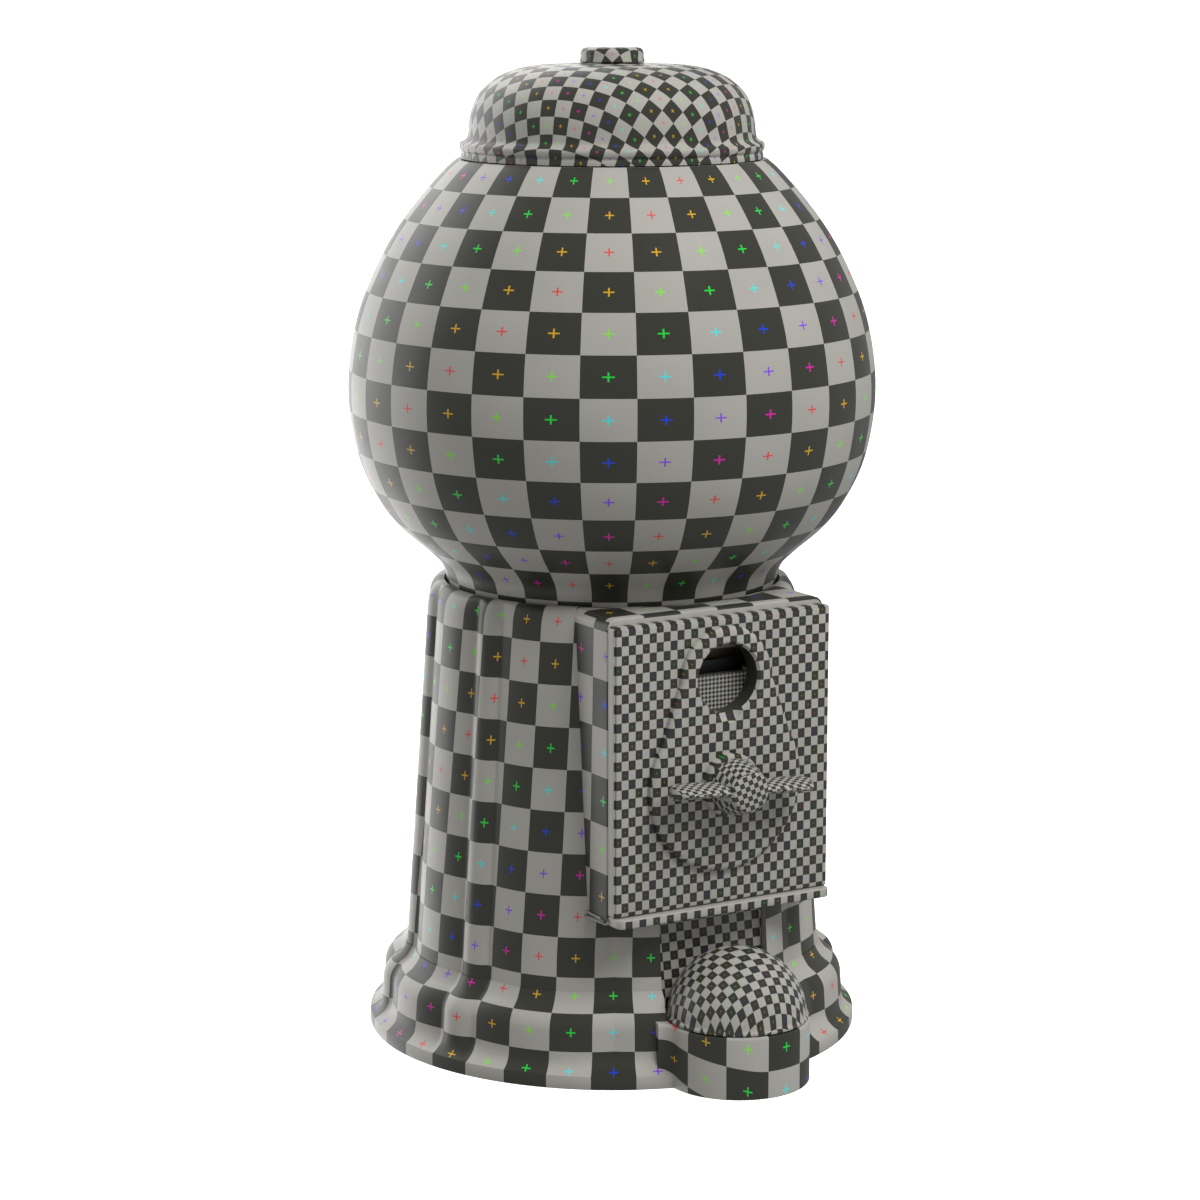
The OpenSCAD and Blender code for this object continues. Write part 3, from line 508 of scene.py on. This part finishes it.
# height, radius over the ribs, depth of the grooves
castingLine = [(0, 95.6, 0), (0.4, 96, 0), (4.6, 96, 0), (5.2, 95.6, 0.2), (6, 94.4, 0.5), (8, 92.6, 1.4),
               (10, 92, 2.2), (12, 91.8, 2.7), (20, 91.3, 2.7), (22.4, 90.9, 2.7), (24.4, 90, 2.7), (26, 88.8, 2.7),
               (27.4, 87.2, 2.7), (29, 85, 2.7), (31.4, 83.2, 2.7), (33.4, 82.2, 2.7), (36, 81.6, 2.7),
               (60, 79.93, 2.7), (84, 78.25, 2.7), (108, 76.58, 2.7), (132, 74.9, 2.7), (156, 73.23, 2.7),
               (168, 72.4, 2.7), (172.5, 71.8, 2.5), (175.4, 70.4, 1.8), (176.6, 69.2, 1.0), (177.2, 68, 0.4),
               (177.4, 67, 0), (177.4, 66.4, 0)]


def ribShare(turn):
    # the middle of the rib at each angle, and half its width, in radians
    grooves = casting["grooves"]
    i = np.clip(np.searchsorted(grooves, turn, side="right") - 1, 0, len(grooves) - 2)
    low, high = np.array(grooves)[i], np.array(grooves)[i + 1]
    return np.radians((low + high) / 2), np.radians((high - low) / 2)


def ribRadius(turn, crest, depth):
    middle, half = ribShare(turn)
    low = crest - depth
    rise, chord = crest - low * np.cos(half), low * np.sin(half)
    arc = (chord ** 2 + rise ** 2) / (2 * rise)
    shift = crest - arc
    away = np.radians(turn) - middle
    return shift * np.cos(away) + np.sqrt(arc ** 2 - (shift * np.sin(away)) ** 2)


def castingSkin():
    # the ribbed column and its stepped foot; the grooves' edges are softened over half a degree or so
    count = int(360 / casting["step"])
    turn = -30 + np.arange(count) * casting["step"]
    reach = round(casting["soft"] / casting["step"])
    rows, cells = [], []
    line = smoothCurve(castingLine, 2)
    along = lengthAlong(line[:, 1::-1])
    start = np.interp(45.9, line[:, 0], along)
    for (z, crest, depth), s in zip(line, along):
        radius = ribRadius(turn, crest, max(depth, 0.0)) if depth > 0 else np.full(count, crest)
        spread = [np.roll(radius, k) for k in range(-reach, reach + 1)]
        radius = (np.mean(spread, axis=0) + radius) / 2
        angle = np.radians(turn)
        rows.append(np.column_stack([radius * np.sin(angle), -radius * np.cos(angle), np.full(count, z)]))
        lean = casting["slant"] * max(z - 46, 0) / 126
        row = (s - start) / (casting["row"] if s > start else casting["footRow"]) - 5.5
        # the print's joins are at the back and at the front, where the box and the cup hide them
        wide = np.append(turn, 330.0)
        around = np.where(wide > 180, wide - 360, wide)
        u = (around + 30 - lean) / casting["column"] + 4.5
        u = np.where((wide > 0) & (wide <= 180), u - casting["jump"], u)
        cells.append([(a, row) for a in u])
    piece = sheetOf("castBody", rows, cells)
    mendJoin(piece)
    return tidyMesh(piece)


def mendJoin(piece):
    # a face over the print's join at the back takes all its corners on one side of it
    layer = piece.data.uv_layers[uvName].data
    whole = 360 / casting["column"]
    for face in piece.data.polygons:
        us = [layer[i].uv[0] for i in face.loop_indices]
        if max(us) - min(us) > whole / 2 and len(us) == 4:
            for i in face.loop_indices:
                if layer[i].uv[0] < 0:
                    layer[i].uv[0] += whole


def cupOutline(shrink=0.0):
    # half-round cup front with hollow corners where it leaves the foot
    ring, corner, cy = 93, 6, casting["cupY"]
    reach, side, span = ring + corner, casting["cupR"] + corner, -cy
    y = -(reach ** 2 - side ** 2 + span ** 2) / (2 * span)
    x = math.sqrt(reach ** 2 - y ** 2)
    toCup = math.degrees(math.atan2(cy - y, -x))
    toRing = math.degrees(math.atan2(-y, -x)) % 360
    toCup = toCup % 360
    right = [(x + (corner + shrink) * math.cos(t), y + (corner + shrink) * math.sin(t))
             for t in np.radians(np.linspace(toRing, toCup, 14))]
    start = math.degrees(math.atan2(y - cy, x))
    nose = [((casting["cupR"] - shrink) * math.sin(t), cy - (casting["cupR"] - shrink) * math.cos(t))
            for t in np.radians(np.linspace(90 + start, -90 - start, 65))]
    left = [(-a, b) for a, b in reversed(right)]
    back = [(left[-1][0] * 0.8, -60), (right[0][0] * 0.8, -60)]
    return np.array(right + nose[1:-1] + left + back)


def cupCells(points, normals, centres):
    x, y, z = points.T
    around = np.degrees(np.arctan2(x, -(y - casting["cupY"])))
    middle = 18.8 + np.maximum(-around - 10, 0) * 0.06
    spacing = 16.6 - np.maximum(-around - 18, 0) * 0.06
    return np.column_stack([(around + 24) / 33.5 + 2.5, (z - middle) / spacing + 0.5])


def boxCells(points, normals, centres):
    # the two side walls carry their own rows; the top carries the front wall's, seen from above
    x, y, z = points.T
    near = -73 - 0.0316 * (z - 72)
    side = np.column_stack([-0.5 - (y - near) / 17.8, (z - 72) / 18.3 + 0.5])
    flat = np.column_stack([x / 15.9, (y + 10) / 15.9])
    above = (np.abs(normals[:, 2]) > 0.7) | ((normals[:, 1] < -0.5) & (centres[:, 2] > 170))
    return np.where(above[:, None], flat, side)


def castBody():
    body = castingSkin()
    front, half, top, rim = casting["front"], casting["box"], casting["top"], casting["rim"]
    outline = [(-half, 62), (half, 62)]
    for sign in (1, -1):
        for t in np.radians(np.linspace(0, 90, 9)):
            angle = t if sign > 0 else math.pi / 2 - t
            outline.append((sign * (half - 4 + 4 * math.cos(angle)), top - 4 + 4 * math.sin(angle)))
    box = prism("box", outline, front, -50.3, "y")
    paintGrid(soften(box, 0.9, 3), boxCells)
    lip = block("lip", (-half - 1.3, front, 62), (half + 1.3, -62, 64.3))
    paintGrid(soften(lip, 0.7, 3), boxCells)
    levels = [(0, 0.35), (0.4, 0), (rim - 1.2, 0), (rim - 0.6, 0.16), (rim - 0.2, 0.5), (rim, 1.1)]
    rows = [np.column_stack([cupOutline(shrink), np.full(len(cupOutline(shrink)), z)]) for z, shrink in levels]
    cup = tidyMesh(sheetOf("cup", rows))
    paintGrid(cup, cupCells)
    combine(body, [box, lip, cup], "UNION")

    inner = half - 2.8
    hollow = [(0, -1), (84, -1), (84, 21), (77, 30), (75.6, 36), (67.2, 163), (61, 163), (61, 166), (65.4, 166),
              (65.4, 180), (0, 180)]
    bare = lambda outline, turn: [[(0.25, 0.25)] * len(turn) for _ in outline]
    bowlY = casting["cupY"]
    bowl = [(0, 9), (casting["bowl"] - 1.6, 9), (casting["bowl"] - 0.4, 9.5), (casting["bowl"], 10.8),
            (casting["bowl"], rim - 1), (casting["bowl"] + 0.3, rim - 0.3), (casting["bowl"] + 1.2, rim + 0.2),
            (casting["bowl"] + 1.2, 40), (0, 40)]
    tools = [
        roundAbout("hollow", hollow, bare, 128),
        roundAbout("bowl", bowl, bare, 96, bowlY),
        roundAbout("underBowl", [(0, -1), (casting["bowl"], -1), (casting["bowl"], 6), (0, 6)], bare, 96, bowlY),
        roundAbout("domeRoom", [(0, rim), (27.3, rim), (27.3, 60), (0, 60)], bare, 96, bowlY),
        block("mechanismRoom", (-inner, front - 1, 66), (inner, -45, 160)),
        block("plateRoom", (-inner, front - 1, 159), (inner, -69.2, top - 3)),
        block("chuteRoom", (-23.7, -92, 9), (23.7, -60, 62)),
        block("flatFace", (-49, -95, 61.8), (49, front + 0.001, top + 1)),
    ]
    for tool in tools:
        paintGrid(tool, lambda points, normals, centres: np.full((len(points), 2), 0.25))
    combine(body, tools, "DIFFERENCE")
    inside = [block("cupFloor", (-24.5, -88, 6), (24.5, -65.2, 9))]
    for sign in (-1, 1):
        x0, x1 = sorted((sign * 22, sign * 24.5))
        inside.append(block("cheek", (x0, -88, 8.9), (x1, -73.3, rim - 0.1)))
        for z in (36, 54):
            x0, x1 = sorted((sign * 23.9, sign * 28.5))
            inside.append(block("pad", (x0, -71.6, z - 3.5), (x1, -69.1, z + 3.5)))
    for angle in (45, 135, 225, 315):
        away = (72 * math.cos(math.radians(angle)), 72 * math.sin(math.radians(angle)))
        inside.append(prism("boss", disc(away[0], away[1], 5, 32), 5.6, 23.6))
    for tool in inside:
        paintGrid(tool, lambda points, normals, centres: np.full((len(points), 2), 0.25))
    combine(body, inside, "UNION")
    return finishPiece(body, "stand", ["body_casting"], angle=32)


castBody()
print("cast body made")


plate = {"face": -82.4, "back": -77.3, "relief": 3.3, "axis": 112, "window": 152, "windowR": 13, "shaft": 4.06,
         "cell": (2.974, 3.59), "shift": (0.8876, 0.1861)}


def keyholeOutline(grow, steps=144):
    # outline of the raised keyhole about a point inside it, grown by some millimetres
    made = []
    centre = 128.0
    for t in np.radians(np.arange(steps) * 360 / steps):
        dx, dz = math.sin(t), math.cos(t)
        reach = 0.0
        for cz, r in ((plate["axis"] - 0.5, 32 + grow), (plate["window"], 18.6 + grow)):
            b = dz * (centre - cz)
            under = b * b - (centre - cz) ** 2 + r * r
            if under > 0:
                reach = max(reach, -b + math.sqrt(under))
        # the sloping sides between the two circles
        (x0, z0), (x1, z1) = (18.6 + grow, plate["window"]), (27 + grow, plate["axis"] + 17)
        slope = (x1 - x0) / (z1 - z0)
        under = abs(dx) - slope * dz
        if under > 1e-6:
            side = (x0 + slope * (centre - z0)) / under
            if z1 <= centre + side * dz <= z0:
                reach = max(reach, side)
        made.append((reach * dx, centre + reach * dz))
    return np.array(made)


def plateCells(points, normals, centres):
    x, y, z = points.T
    cells = np.column_stack([x / plate["cell"][0] + plate["shift"][0], z / plate["cell"][1] + plate["shift"][1]])
    # the plate's edges and the ledge's top show plain light film, and the ledge's front carries one row
    edge = (np.abs(centres[:, 0]) > 46.9) & (np.abs(normals[:, 0]) > 0.6)
    low = centres[:, 2] < 65.6
    edge |= low & ((normals[:, 2] > 0.2) | (np.abs(normals[:, 0]) > 0.5))
    # the wall of the coin window is painted with the dark cell behind its edge: painted shade inside the window
    away = np.hypot(centres[:, 0], centres[:, 2] - plate["window"])
    dark = (away < plate["windowR"] + 0.2) & (centres[:, 1] > plate["face"] - 2)
    # the mask marks the window's wall, which takes the dark cell as painted shade
    cells = np.where(dark[:, None], np.array([0.25, 1.25]), cells)
    row = np.column_stack([x / plate["cell"][0] + plate["shift"][0], 17.02 + np.clip((z - 61.8) / 3.75, 0, 0.96)])
    return np.where(edge[:, None], 0.25, np.where(low[:, None], row, cells))


def frontPlate():
    face, back, relief = plate["face"], plate["back"], plate["relief"]
    slab = prism("frontPlate", roundedBox(-47.2, 65.3, 47.2, 174.9, 1.2), face + 0.8, back, "y")
    soften(slab, 0.3, 2)
    step = prism("step", roundedBox(-46.5, 66, 46.5, 174.2, 1.0), face, face + 1.6, "y")
    soften(step, 0.35, 2)
    ledge = prism("ledge", roundedBox(-46.8, face - 3, 46.8, back + 3, 3.0), 61.9, 65.4)
    soften(ledge, 0.5, 3)
    cutLedge = block("cutLedge", (-60, back, 55), (60, back + 10, 80))
    levels = [(face + 1, 1.0), (face - relief * 0.45, 1.0), (face - relief * 0.62, 0.75), (face - relief * 0.8, 0.2),
              (face - relief * 0.93, -0.5), (face - relief, -1.5)]
    rows = [np.insert(keyholeOutline(grow), 1, y, axis=1) for y, grow in levels]
    keyhole = tidyMesh(sheetOf("keyhole", rows))
    collarLine = [(12.2, face), (12, face - relief - 1), (12, -88.6), (11.6, -89.3), (10.8, -89.6)]
    rows = [np.insert(disc(0, plate["axis"], r, 96), 1, y, axis=1) for r, y in collarLine]
    collar = tidyMesh(sheetOf("collar", rows))
    combine(slab, [step, keyhole, collar, ledge], "UNION")
    front = face - relief
    windowLine = [(plate["windowR"] + 1.2, front - 1), (plate["windowR"] + 0.9, front), (plate["windowR"], front + 1),
                  (plate["windowR"], back + 1)]
    rows = [np.insert(disc(0, plate["window"], r, 96), 1, y, axis=1) for r, y in windowLine]
    window = tidyMesh(sheetOf("window", rows))
    shaft = prism("shaft", disc(0, plate["axis"], plate["shaft"], 64), -100, -70, "y")
    notch = newBall("notch", (0, front - 3.4, plate["window"] - plate["windowR"] + 2), 7)
    combine(slab, [window, shaft, notch, cutLedge], "DIFFERENCE")
    tidyMesh(slab)
    paintGrid(slab, plateCells)
    return finishPiece(slab, "stand", ["front_plate"], finePrint, angle=34)


def newBall(name, centre, radius, rings=24):
    line = [(radius * math.sin(t), centre[2] + radius * math.cos(t)) for t in np.radians(np.linspace(0, 180, rings))]
    turn = np.radians(np.arange(48) * 7.5)
    rows = [[(centre[0] + r * math.cos(t), centre[1] + r * math.sin(t), z) for t in turn] for r, z in line]
    return tidyMesh(sheetOf(name, rows, caps=False))


chute = {"front": -73.0, "back": -69.0, "across": (0.2966, 0.0252, -1.0041), "up": (0.0, 0.2795, -0.0328),
         "hingeY": -75.6, "hingeZ": 41.0}


def chuteCells(points, normals, centres):
    x, y, z = points.T
    return np.column_stack([a * x + b * z + c for a, b, c in (chute["across"], chute["up"])])


def barrel(name, x0, x1, r, steps=48):
    turn = np.radians(np.arange(steps) * 360 / steps)
    dy, dz = np.cos(turn), np.sin(turn)
    rows = [np.column_stack([np.full(steps, x), chute["hingeY"] + s * dy, chute["hingeZ"] + s * dz])
            for x, s in ((x0, r - 0.25), (x0 + 0.25, r), (x1 - 0.25, r), (x1, r - 0.25))]
    return tidyMesh(sheetOf(name, rows))


def chutePlate():
    slab = prism("chutePlate", roundedBox(-23.4, 9.2, 23.4, 61.8, 0.6), chute["front"], chute["back"], "y")
    soften(slab, 0.35, 2)
    flange = block("flange", (-27, chute["back"] - 0.01, 26), (27, chute["back"] + 2.4, 60))
    knuckle = barrel("knuckle", -3, 3, 1.9)
    web = block("web", (-3, chute["hingeY"], chute["hingeZ"] - 1.9),
                (3, chute["front"] + 0.01, chute["hingeZ"] + 1.9))
    combine(slab, [flange, knuckle, web], "UNION")
    half, spring = 11, 20
    arch = [(-half, 8), (half, 8)] + [(half * math.cos(t), spring + half * math.sin(t))
                                      for t in np.radians(np.linspace(0, 180, 37))]
    bore = barrel("bore", -20, 20, 0.97)
    holes = [prism("hole", disc(x, z, 1.4, 24), -70, -64, "y") for x in (-25.4, 25.4) for z in (36, 54)]
    combine(slab, [prism("arch", arch, -80, -60, "y"), bore] + holes, "DIFFERENCE")
    paintGrid(tidyMesh(slab), chuteCells)
    return finishPiece(slab, "stand", ["chute_plate"], finePrint, angle=34)


door = {"centre": (0, -93, 24.3), "radius": 26.3, "wall": 1.6, "cell": (6.1404, 5.9912), "turn": 1.63,
        "shift": (1.1075, -0.5236), "flatten": (1.9902, -1.4322)}


def chuteDoor():
    r, z0, wall = door["radius"], door["centre"][2], door["wall"]
    outer = [(r * math.sin(t), z0 + r * math.cos(t)) for t in np.radians(np.linspace(0, 86, 44))]
    rim = [(r + 0.25, z0 + 1.3), (r + 0.5, z0 + 1.0), (r + 0.5, z0 + 0.25), (r + 0.2, z0), (r - wall, z0)]
    inner = [((r - wall) * math.sin(t), z0 + (r - wall) * math.cos(t)) for t in np.radians(np.linspace(89, 0, 30))]
    cells = discCells(dict(door, full=r * math.radians(89)), door["flatten"])
    dome = roundAbout("chuteDoor", np.vstack([outer, rim, inner]), cells, 160, door["centre"][1])
    back = block("back", (-40, -73.9, 0), (40, -30, 80))
    gap = block("gap", (-3.3, -78.4, chute["hingeZ"] - 3), (3.3, -70, chute["hingeZ"] + 8))
    knuckles = [barrel("knuckle", 3.3, 6.3, 1.8), barrel("knuckle", -6.3, -3.3, 1.8)]
    combine(dome, [back], "DIFFERENCE")
    for piece in knuckles:
        paintGrid(piece, chuteCells)
    combine(dome, knuckles, "UNION")
    combine(dome, [gap, barrel("bore", -20, 20, 1.0)], "DIFFERENCE")
    return finishPiece(dome, "door", ["chute_door"], finePrint)


frontPlate()
chutePlate()
chuteDoor()
print("plates and door made")


handle = {"axis": 112.0, "tip": 30.6, "nose": -102.4, "tilt": 3.6, "cell": 1.9, "lean": 17}


def handleCells(points, normals, centres):
    # the barrel and wings are printed from the front; steep faces are printed along their own depth
    x, y, z = points.T
    size = handle["cell"]
    c, s = math.cos(math.radians(handle["lean"])), math.sin(math.radians(handle["lean"]))
    front = np.column_stack([(c * x + s * z) / size, (c * z - s * x) / size])
    flat = np.column_stack([x / size, y / size * 1.2])
    steep = np.abs(normals[:, 2]) > np.abs(normals[:, 1])
    return np.where(steep[:, None], flat, front)


def wing(side):
    # a leaf: sections from root to tip, round at the end, thin along its front edge
    rows = []
    for share in np.linspace(0, 1, 22):
        x = 2 + share * (handle["tip"] - 2)
        past = max(x - (handle["tip"] - 7), 0) / 7
        half = (5.4 + 1.6 * min(share * 1.2, 1)) * math.sqrt(max(1 - past ** 2, 0.0))
        half = max(half, 0.05)
        centre = -95.2
        section = []
        for t in np.radians(np.arange(0, 360, 15)):
            c, s = math.cos(t), math.sin(t)
            y = centre + half * c
            thick = 1.3 + (y + 103) / 15 * 2.3
            arch = (1 - abs(c) ** 3) ** 0.5
            section.append((side * x, y, handle["axis"] + thick * arch * (1 if s > 0 else -1 if s < 0 else 0)))
        rows.append(section)
    piece = sheetOf("wing", rows)
    lean = math.radians(handle["tilt"])
    for v in piece.data.vertices:
        x, z = v.co.x, v.co.z - handle["axis"] * mm
        v.co.x = x * math.cos(lean) + z * math.sin(lean)
        v.co.z = z * math.cos(lean) - x * math.sin(lean) + handle["axis"] * mm
    return tidyMesh(piece)


def turnHandle():
    back, nose = -89.9, handle["nose"]
    line = [(9.9, back), (10.5, back - 0.3), (10.6, back - 1), (10.4, -92.6), (9.8, -95.5), (9.1, -97.6),
            (8.4, -99.4), (7.9, -100.9), (7.4, -101.6), (6.6, -102), (4, nose + 0.15), (1.2, nose), (0.2, nose)]
    rows = [np.insert(disc(0, handle["axis"], r, 96), 1, y, axis=1) for r, y in line]
    hub = tidyMesh(sheetOf("handle", rows))
    wings = []
    for side in (1, -1):
        room = prism("collarRoom", disc(0, handle["axis"], 12.5, 72), back, back + 5, "y")
        wings.append(combine(wing(side), [room], "DIFFERENCE"))
    combine(hub, wings, "UNION")
    combine(hub, [prism("shaft", disc(0, handle["axis"], 4.02, 48), -99.1, -80, "y")], "DIFFERENCE")
    paintGrid(tidyMesh(hub), handleCells)
    return finishPiece(hub, "drive", ["handle"], finePrint)


turnHandle()
print("handle made")


def socketsFor(tree, sizes):
    tree.interface.new_socket("Spots", in_out="INPUT", socket_type="NodeSocketGeometry")
    for name in sizes:
        tree.interface.new_socket(name, in_out="INPUT", socket_type="NodeSocketFloat")
    tree.interface.new_socket("Turn", in_out="INPUT", socket_type="NodeSocketVector")
    tree.interface.new_socket("Finish", in_out="INPUT", socket_type="NodeSocketMaterial")
    tree.interface.new_socket("Pieces", in_out="OUTPUT", socket_type="NodeSocketGeometry")
    return add(tree, "NodeGroupInput")


def setOut(tree, group, shape):
    # one shape at every spot, made real, with its finish
    turned = add(tree, "FunctionNodeEulerToRotation", None, {0: group.outputs["Turn"]})
    spread = add(tree, "GeometryNodeInstanceOnPoints", None, {
        "Points": group.outputs["Spots"], "Instance": shape, "Rotation": turned.outputs[0]})
    whole = add(tree, "GeometryNodeRealizeInstances", None, {0: spread.outputs[0]})
    dressed = add(tree, "GeometryNodeSetMaterial", None, {
        "Geometry": whole.outputs[0], "Material": group.outputs["Finish"]})
    add(tree, "NodeGroupOutput", None, {0: dressed.outputs[0]})
    return tree


screwLap = 0.05  # mm that the shank reaches into the head


def screwTree():
    # a round-headed screw with a cross recess, its head upwards from z = 0 and its shank below
    tree = bpy.data.node_groups.new("round-headed screws", "GeometryNodeTree")
    group = socketsFor(tree, ["Head radius", "Head height", "Shank radius", "Shank length"])
    headR, headH, shankR, shankL = (group.outputs[i] for i in (1, 2, 3, 4))
    ball = add(tree, "GeometryNodeMeshUVSphere", None, {"Segments": 32, "Rings": 16, "Radius": 1.0})
    size = add(tree, "ShaderNodeCombineXYZ", None, {0: headR, 1: headR, 2: headH})
    dome = add(tree, "GeometryNodeTransform", None, {"Geometry": ball.outputs["Mesh"], "Scale": size.outputs[0]})
    # three boxes in shares of the head's size: room for the half above the seat, and the two bars of the recess
    raised, boxes = add(tree, "ShaderNodeCombineXYZ", None, {2: headH}), []
    for across, along, tall in ((3.0, 3.0, 2.0), (1.15, 0.26, 1.0), (0.26, 1.15, 1.0)):
        size = add(tree, "ShaderNodeCombineXYZ")
        for i, length, share in ((0, headR, across), (1, headR, along), (2, headH, tall)):
            side = add(tree, "ShaderNodeMath", {"operation": "MULTIPLY"}, {0: length, 1: share})
            tree.links.new(side.outputs[0], size.inputs[i])
        box = add(tree, "GeometryNodeMeshCube", None, {"Size": size})
        boxes.append(add(tree, "GeometryNodeTransform", None, {"Geometry": box, "Translation": raised}))
    head = add(tree, "GeometryNodeMeshBoolean", {"operation": "INTERSECT"}, {1: [dome, boxes[0]]})
    cut = add(tree, "GeometryNodeMeshBoolean", {"operation": "DIFFERENCE"}, {0: head, 1: boxes[1:]})
    rod = add(tree, "GeometryNodeMeshCylinder", None, {"Vertices": 32, "Radius": shankR, "Depth": shankL})
    half = add(tree, "ShaderNodeMath", {"operation": "MULTIPLY"}, {0: shankL, 1: 0.5})
    drop = add(tree, "ShaderNodeMath", {"operation": "SUBTRACT"}, {0: screwLap * mm, 1: half})
    sunk = add(tree, "ShaderNodeCombineXYZ", None, {2: drop})
    shank = add(tree, "GeometryNodeTransform", None, {"Geometry": rod, "Translation": sunk})
    whole = add(tree, "GeometryNodeMeshBoolean", {"operation": "UNION"}, {1: [cut, shank]})
    return setOut(tree, group, whole)


def footTree():
    # a push-in rubber foot: a rounded pad on the table, a stem through the base and a barb above it
    tree = bpy.data.node_groups.new("push-in feet", "GeometryNodeTree")
    group = socketsFor(tree, ["Pad radius", "Pad height", "Stem radius", "Barb radius", "Barb low", "Barb high"])
    padR, padH, stemR, barbR, low, high = (group.outputs[i] for i in (1, 2, 3, 4, 5, 6))
    # lower and upper radius, start and end, each as a share of one of the sizes
    layers = [((padR, 0.9), (padR, 1), (padH, 0), (padH, 0.26)), ((padR, 1), (padR, 1), (padH, 0.25), (padH, 0.8)),
              ((padR, 1), (padR, 0.93), (padH, 0.79), (padH, 1)), ((stemR, 1), (stemR, 1), (padH, 0.9), (low, 1.05)),
              ((barbR, 1), (barbR, 0.62), (low, 1), (high, 1))]
    shapes = []
    for layer in layers:
        lowR, highR, start, end = (
            add(tree, "ShaderNodeMath", {"operation": "MULTIPLY"}, {0: size, 1: share}) for size, share in layer)
        tall = add(tree, "ShaderNodeMath", {"operation": "SUBTRACT"}, {0: end, 1: start})
        cone = add(tree, "GeometryNodeMeshCone", None, {
            "Vertices": 40, "Radius Bottom": lowR, "Radius Top": highR, "Depth": tall})
        lifted = add(tree, "ShaderNodeCombineXYZ", None, {2: start})
        shapes.append(add(tree, "GeometryNodeTransform", None, {"Geometry": cone, "Translation": lifted}))
    whole = add(tree, "GeometryNodeMeshBoolean", {"operation": "UNION"}, {1: shapes})
    return setOut(tree, group, whole)


def spotsRound(radius, angles, height):
    return [(radius * math.cos(math.radians(a)), radius * math.sin(math.radians(a)), height) for a in angles]


# spots, the way the heads face, and the sizes in mm of each set
down, back = (math.pi, 0, 0), (-math.pi / 2, 0, 0)
screws = {
    "base_screws": (spotsRound(72, (45, 135, 225, 315), 2.9), down, (3.6, 1.75, 1.55, 12.9)),
    "housing_screws": (spotsRound(58, (45, 135, 225, 315), 142.7), down, (2.6, 1.35, 1.15, 5.3)),
    "chute_screws": (spotsRound(47.5, (-30,), 116.7) + spotsRound(18.5, (-30,), 116.7), down,
                     (2.0, 1.25, 1.15, 4.5)),
    "plate_screws": ([(x, -71.25, z) for x in (-41, 41) for z in (70.4, 169.8)], back, (3.0, 1.75, 1.45, 9.0)),
    "mech_screws": ([(x, -63.48, z) for x in (-34, 34) for z in (76, 148)], back, (2.8, 1.55, 1.15, 16.8)),
    "chute_plate_screws": ([(x, -66.58, z) for x in (-25.4, 25.4) for z in (36, 54)], back, (2.2, 1.35, 1.1, 7.0)),
}
feet = {"spots": spotsRound(60, (22.5, 112.5, 202.5, 292.5), 0), "sizes": (8.0, 2.9, 3.0, 4.2, 5.6, 7.4)}


def spreadOut(name, tree, spots, sizes, turn, finish):
    piece = newPiece(name, spots, [])
    modifier = piece.modifiers.new("set out", "NODES")
    modifier.node_group = tree
    inputs = [item for item in tree.interface.items_tree if item.in_out == "INPUT"]
    for item, value in zip(inputs[1:], [s * mm for s in sizes] + [turn, finish]):
        modifier[item.identifier] = value
    return settle(piece)


def fastenings():
    tree, steel, rubber = screwTree(), hidden["zinc-plated steel, bright"], hidden["rubber, moulded black"]
    for node, (spots, turn, sizes) in screws.items():
        piece = spreadOut(node.replace("_", "-"), tree, spots, sizes, turn, steel)
        finishPiece(piece, "stand", [node], steel, 32)
    piece = spreadOut("push-in-feet", footTree(), feet["spots"], feet["sizes"], (0, 0, 0), rubber)
    finishPiece(piece, "stand", ["rubber_feet"], rubber, 32)


fastenings()
print("screws and feet set out")

coinPrint = printedFinish("satin printed film on coin wheel", (1.16, 45, (0.5, 0, 0.5)), 0.4)
kept = {
    "cold-rolled steel, brushed": ["base_plate", "wheel_housing", "mech_frame", "outlet_guard"],
    "zinc-plated steel, bright": ["center_rod", "rod_nut", "rod_washer", "agitator", "spindle", "spindle_clip",
                                  "ratchet_wheel", "spacer_posts", "pawl_post", "pawl_spring", "door_hinge_pin"],
    "brass, machined": ["drive_pinion", "pawl"],
    "nylon, moulded natural": ["dispensing_wheel"],
    "polystyrene, moulded cream": ["hopper", "ball_chute"],
    "rubber, moulded black": ["lower_gasket", "upper_gasket"],
}


def dress(node, material):
    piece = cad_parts[node]
    piece.data.materials.clear()
    piece.data.materials.append(material)


for finish, nodes in kept.items():
    for node in nodes:
        dress(node, hidden[finish])
dress("coin_wheel", coinPrint)
print("kept parts dressed")
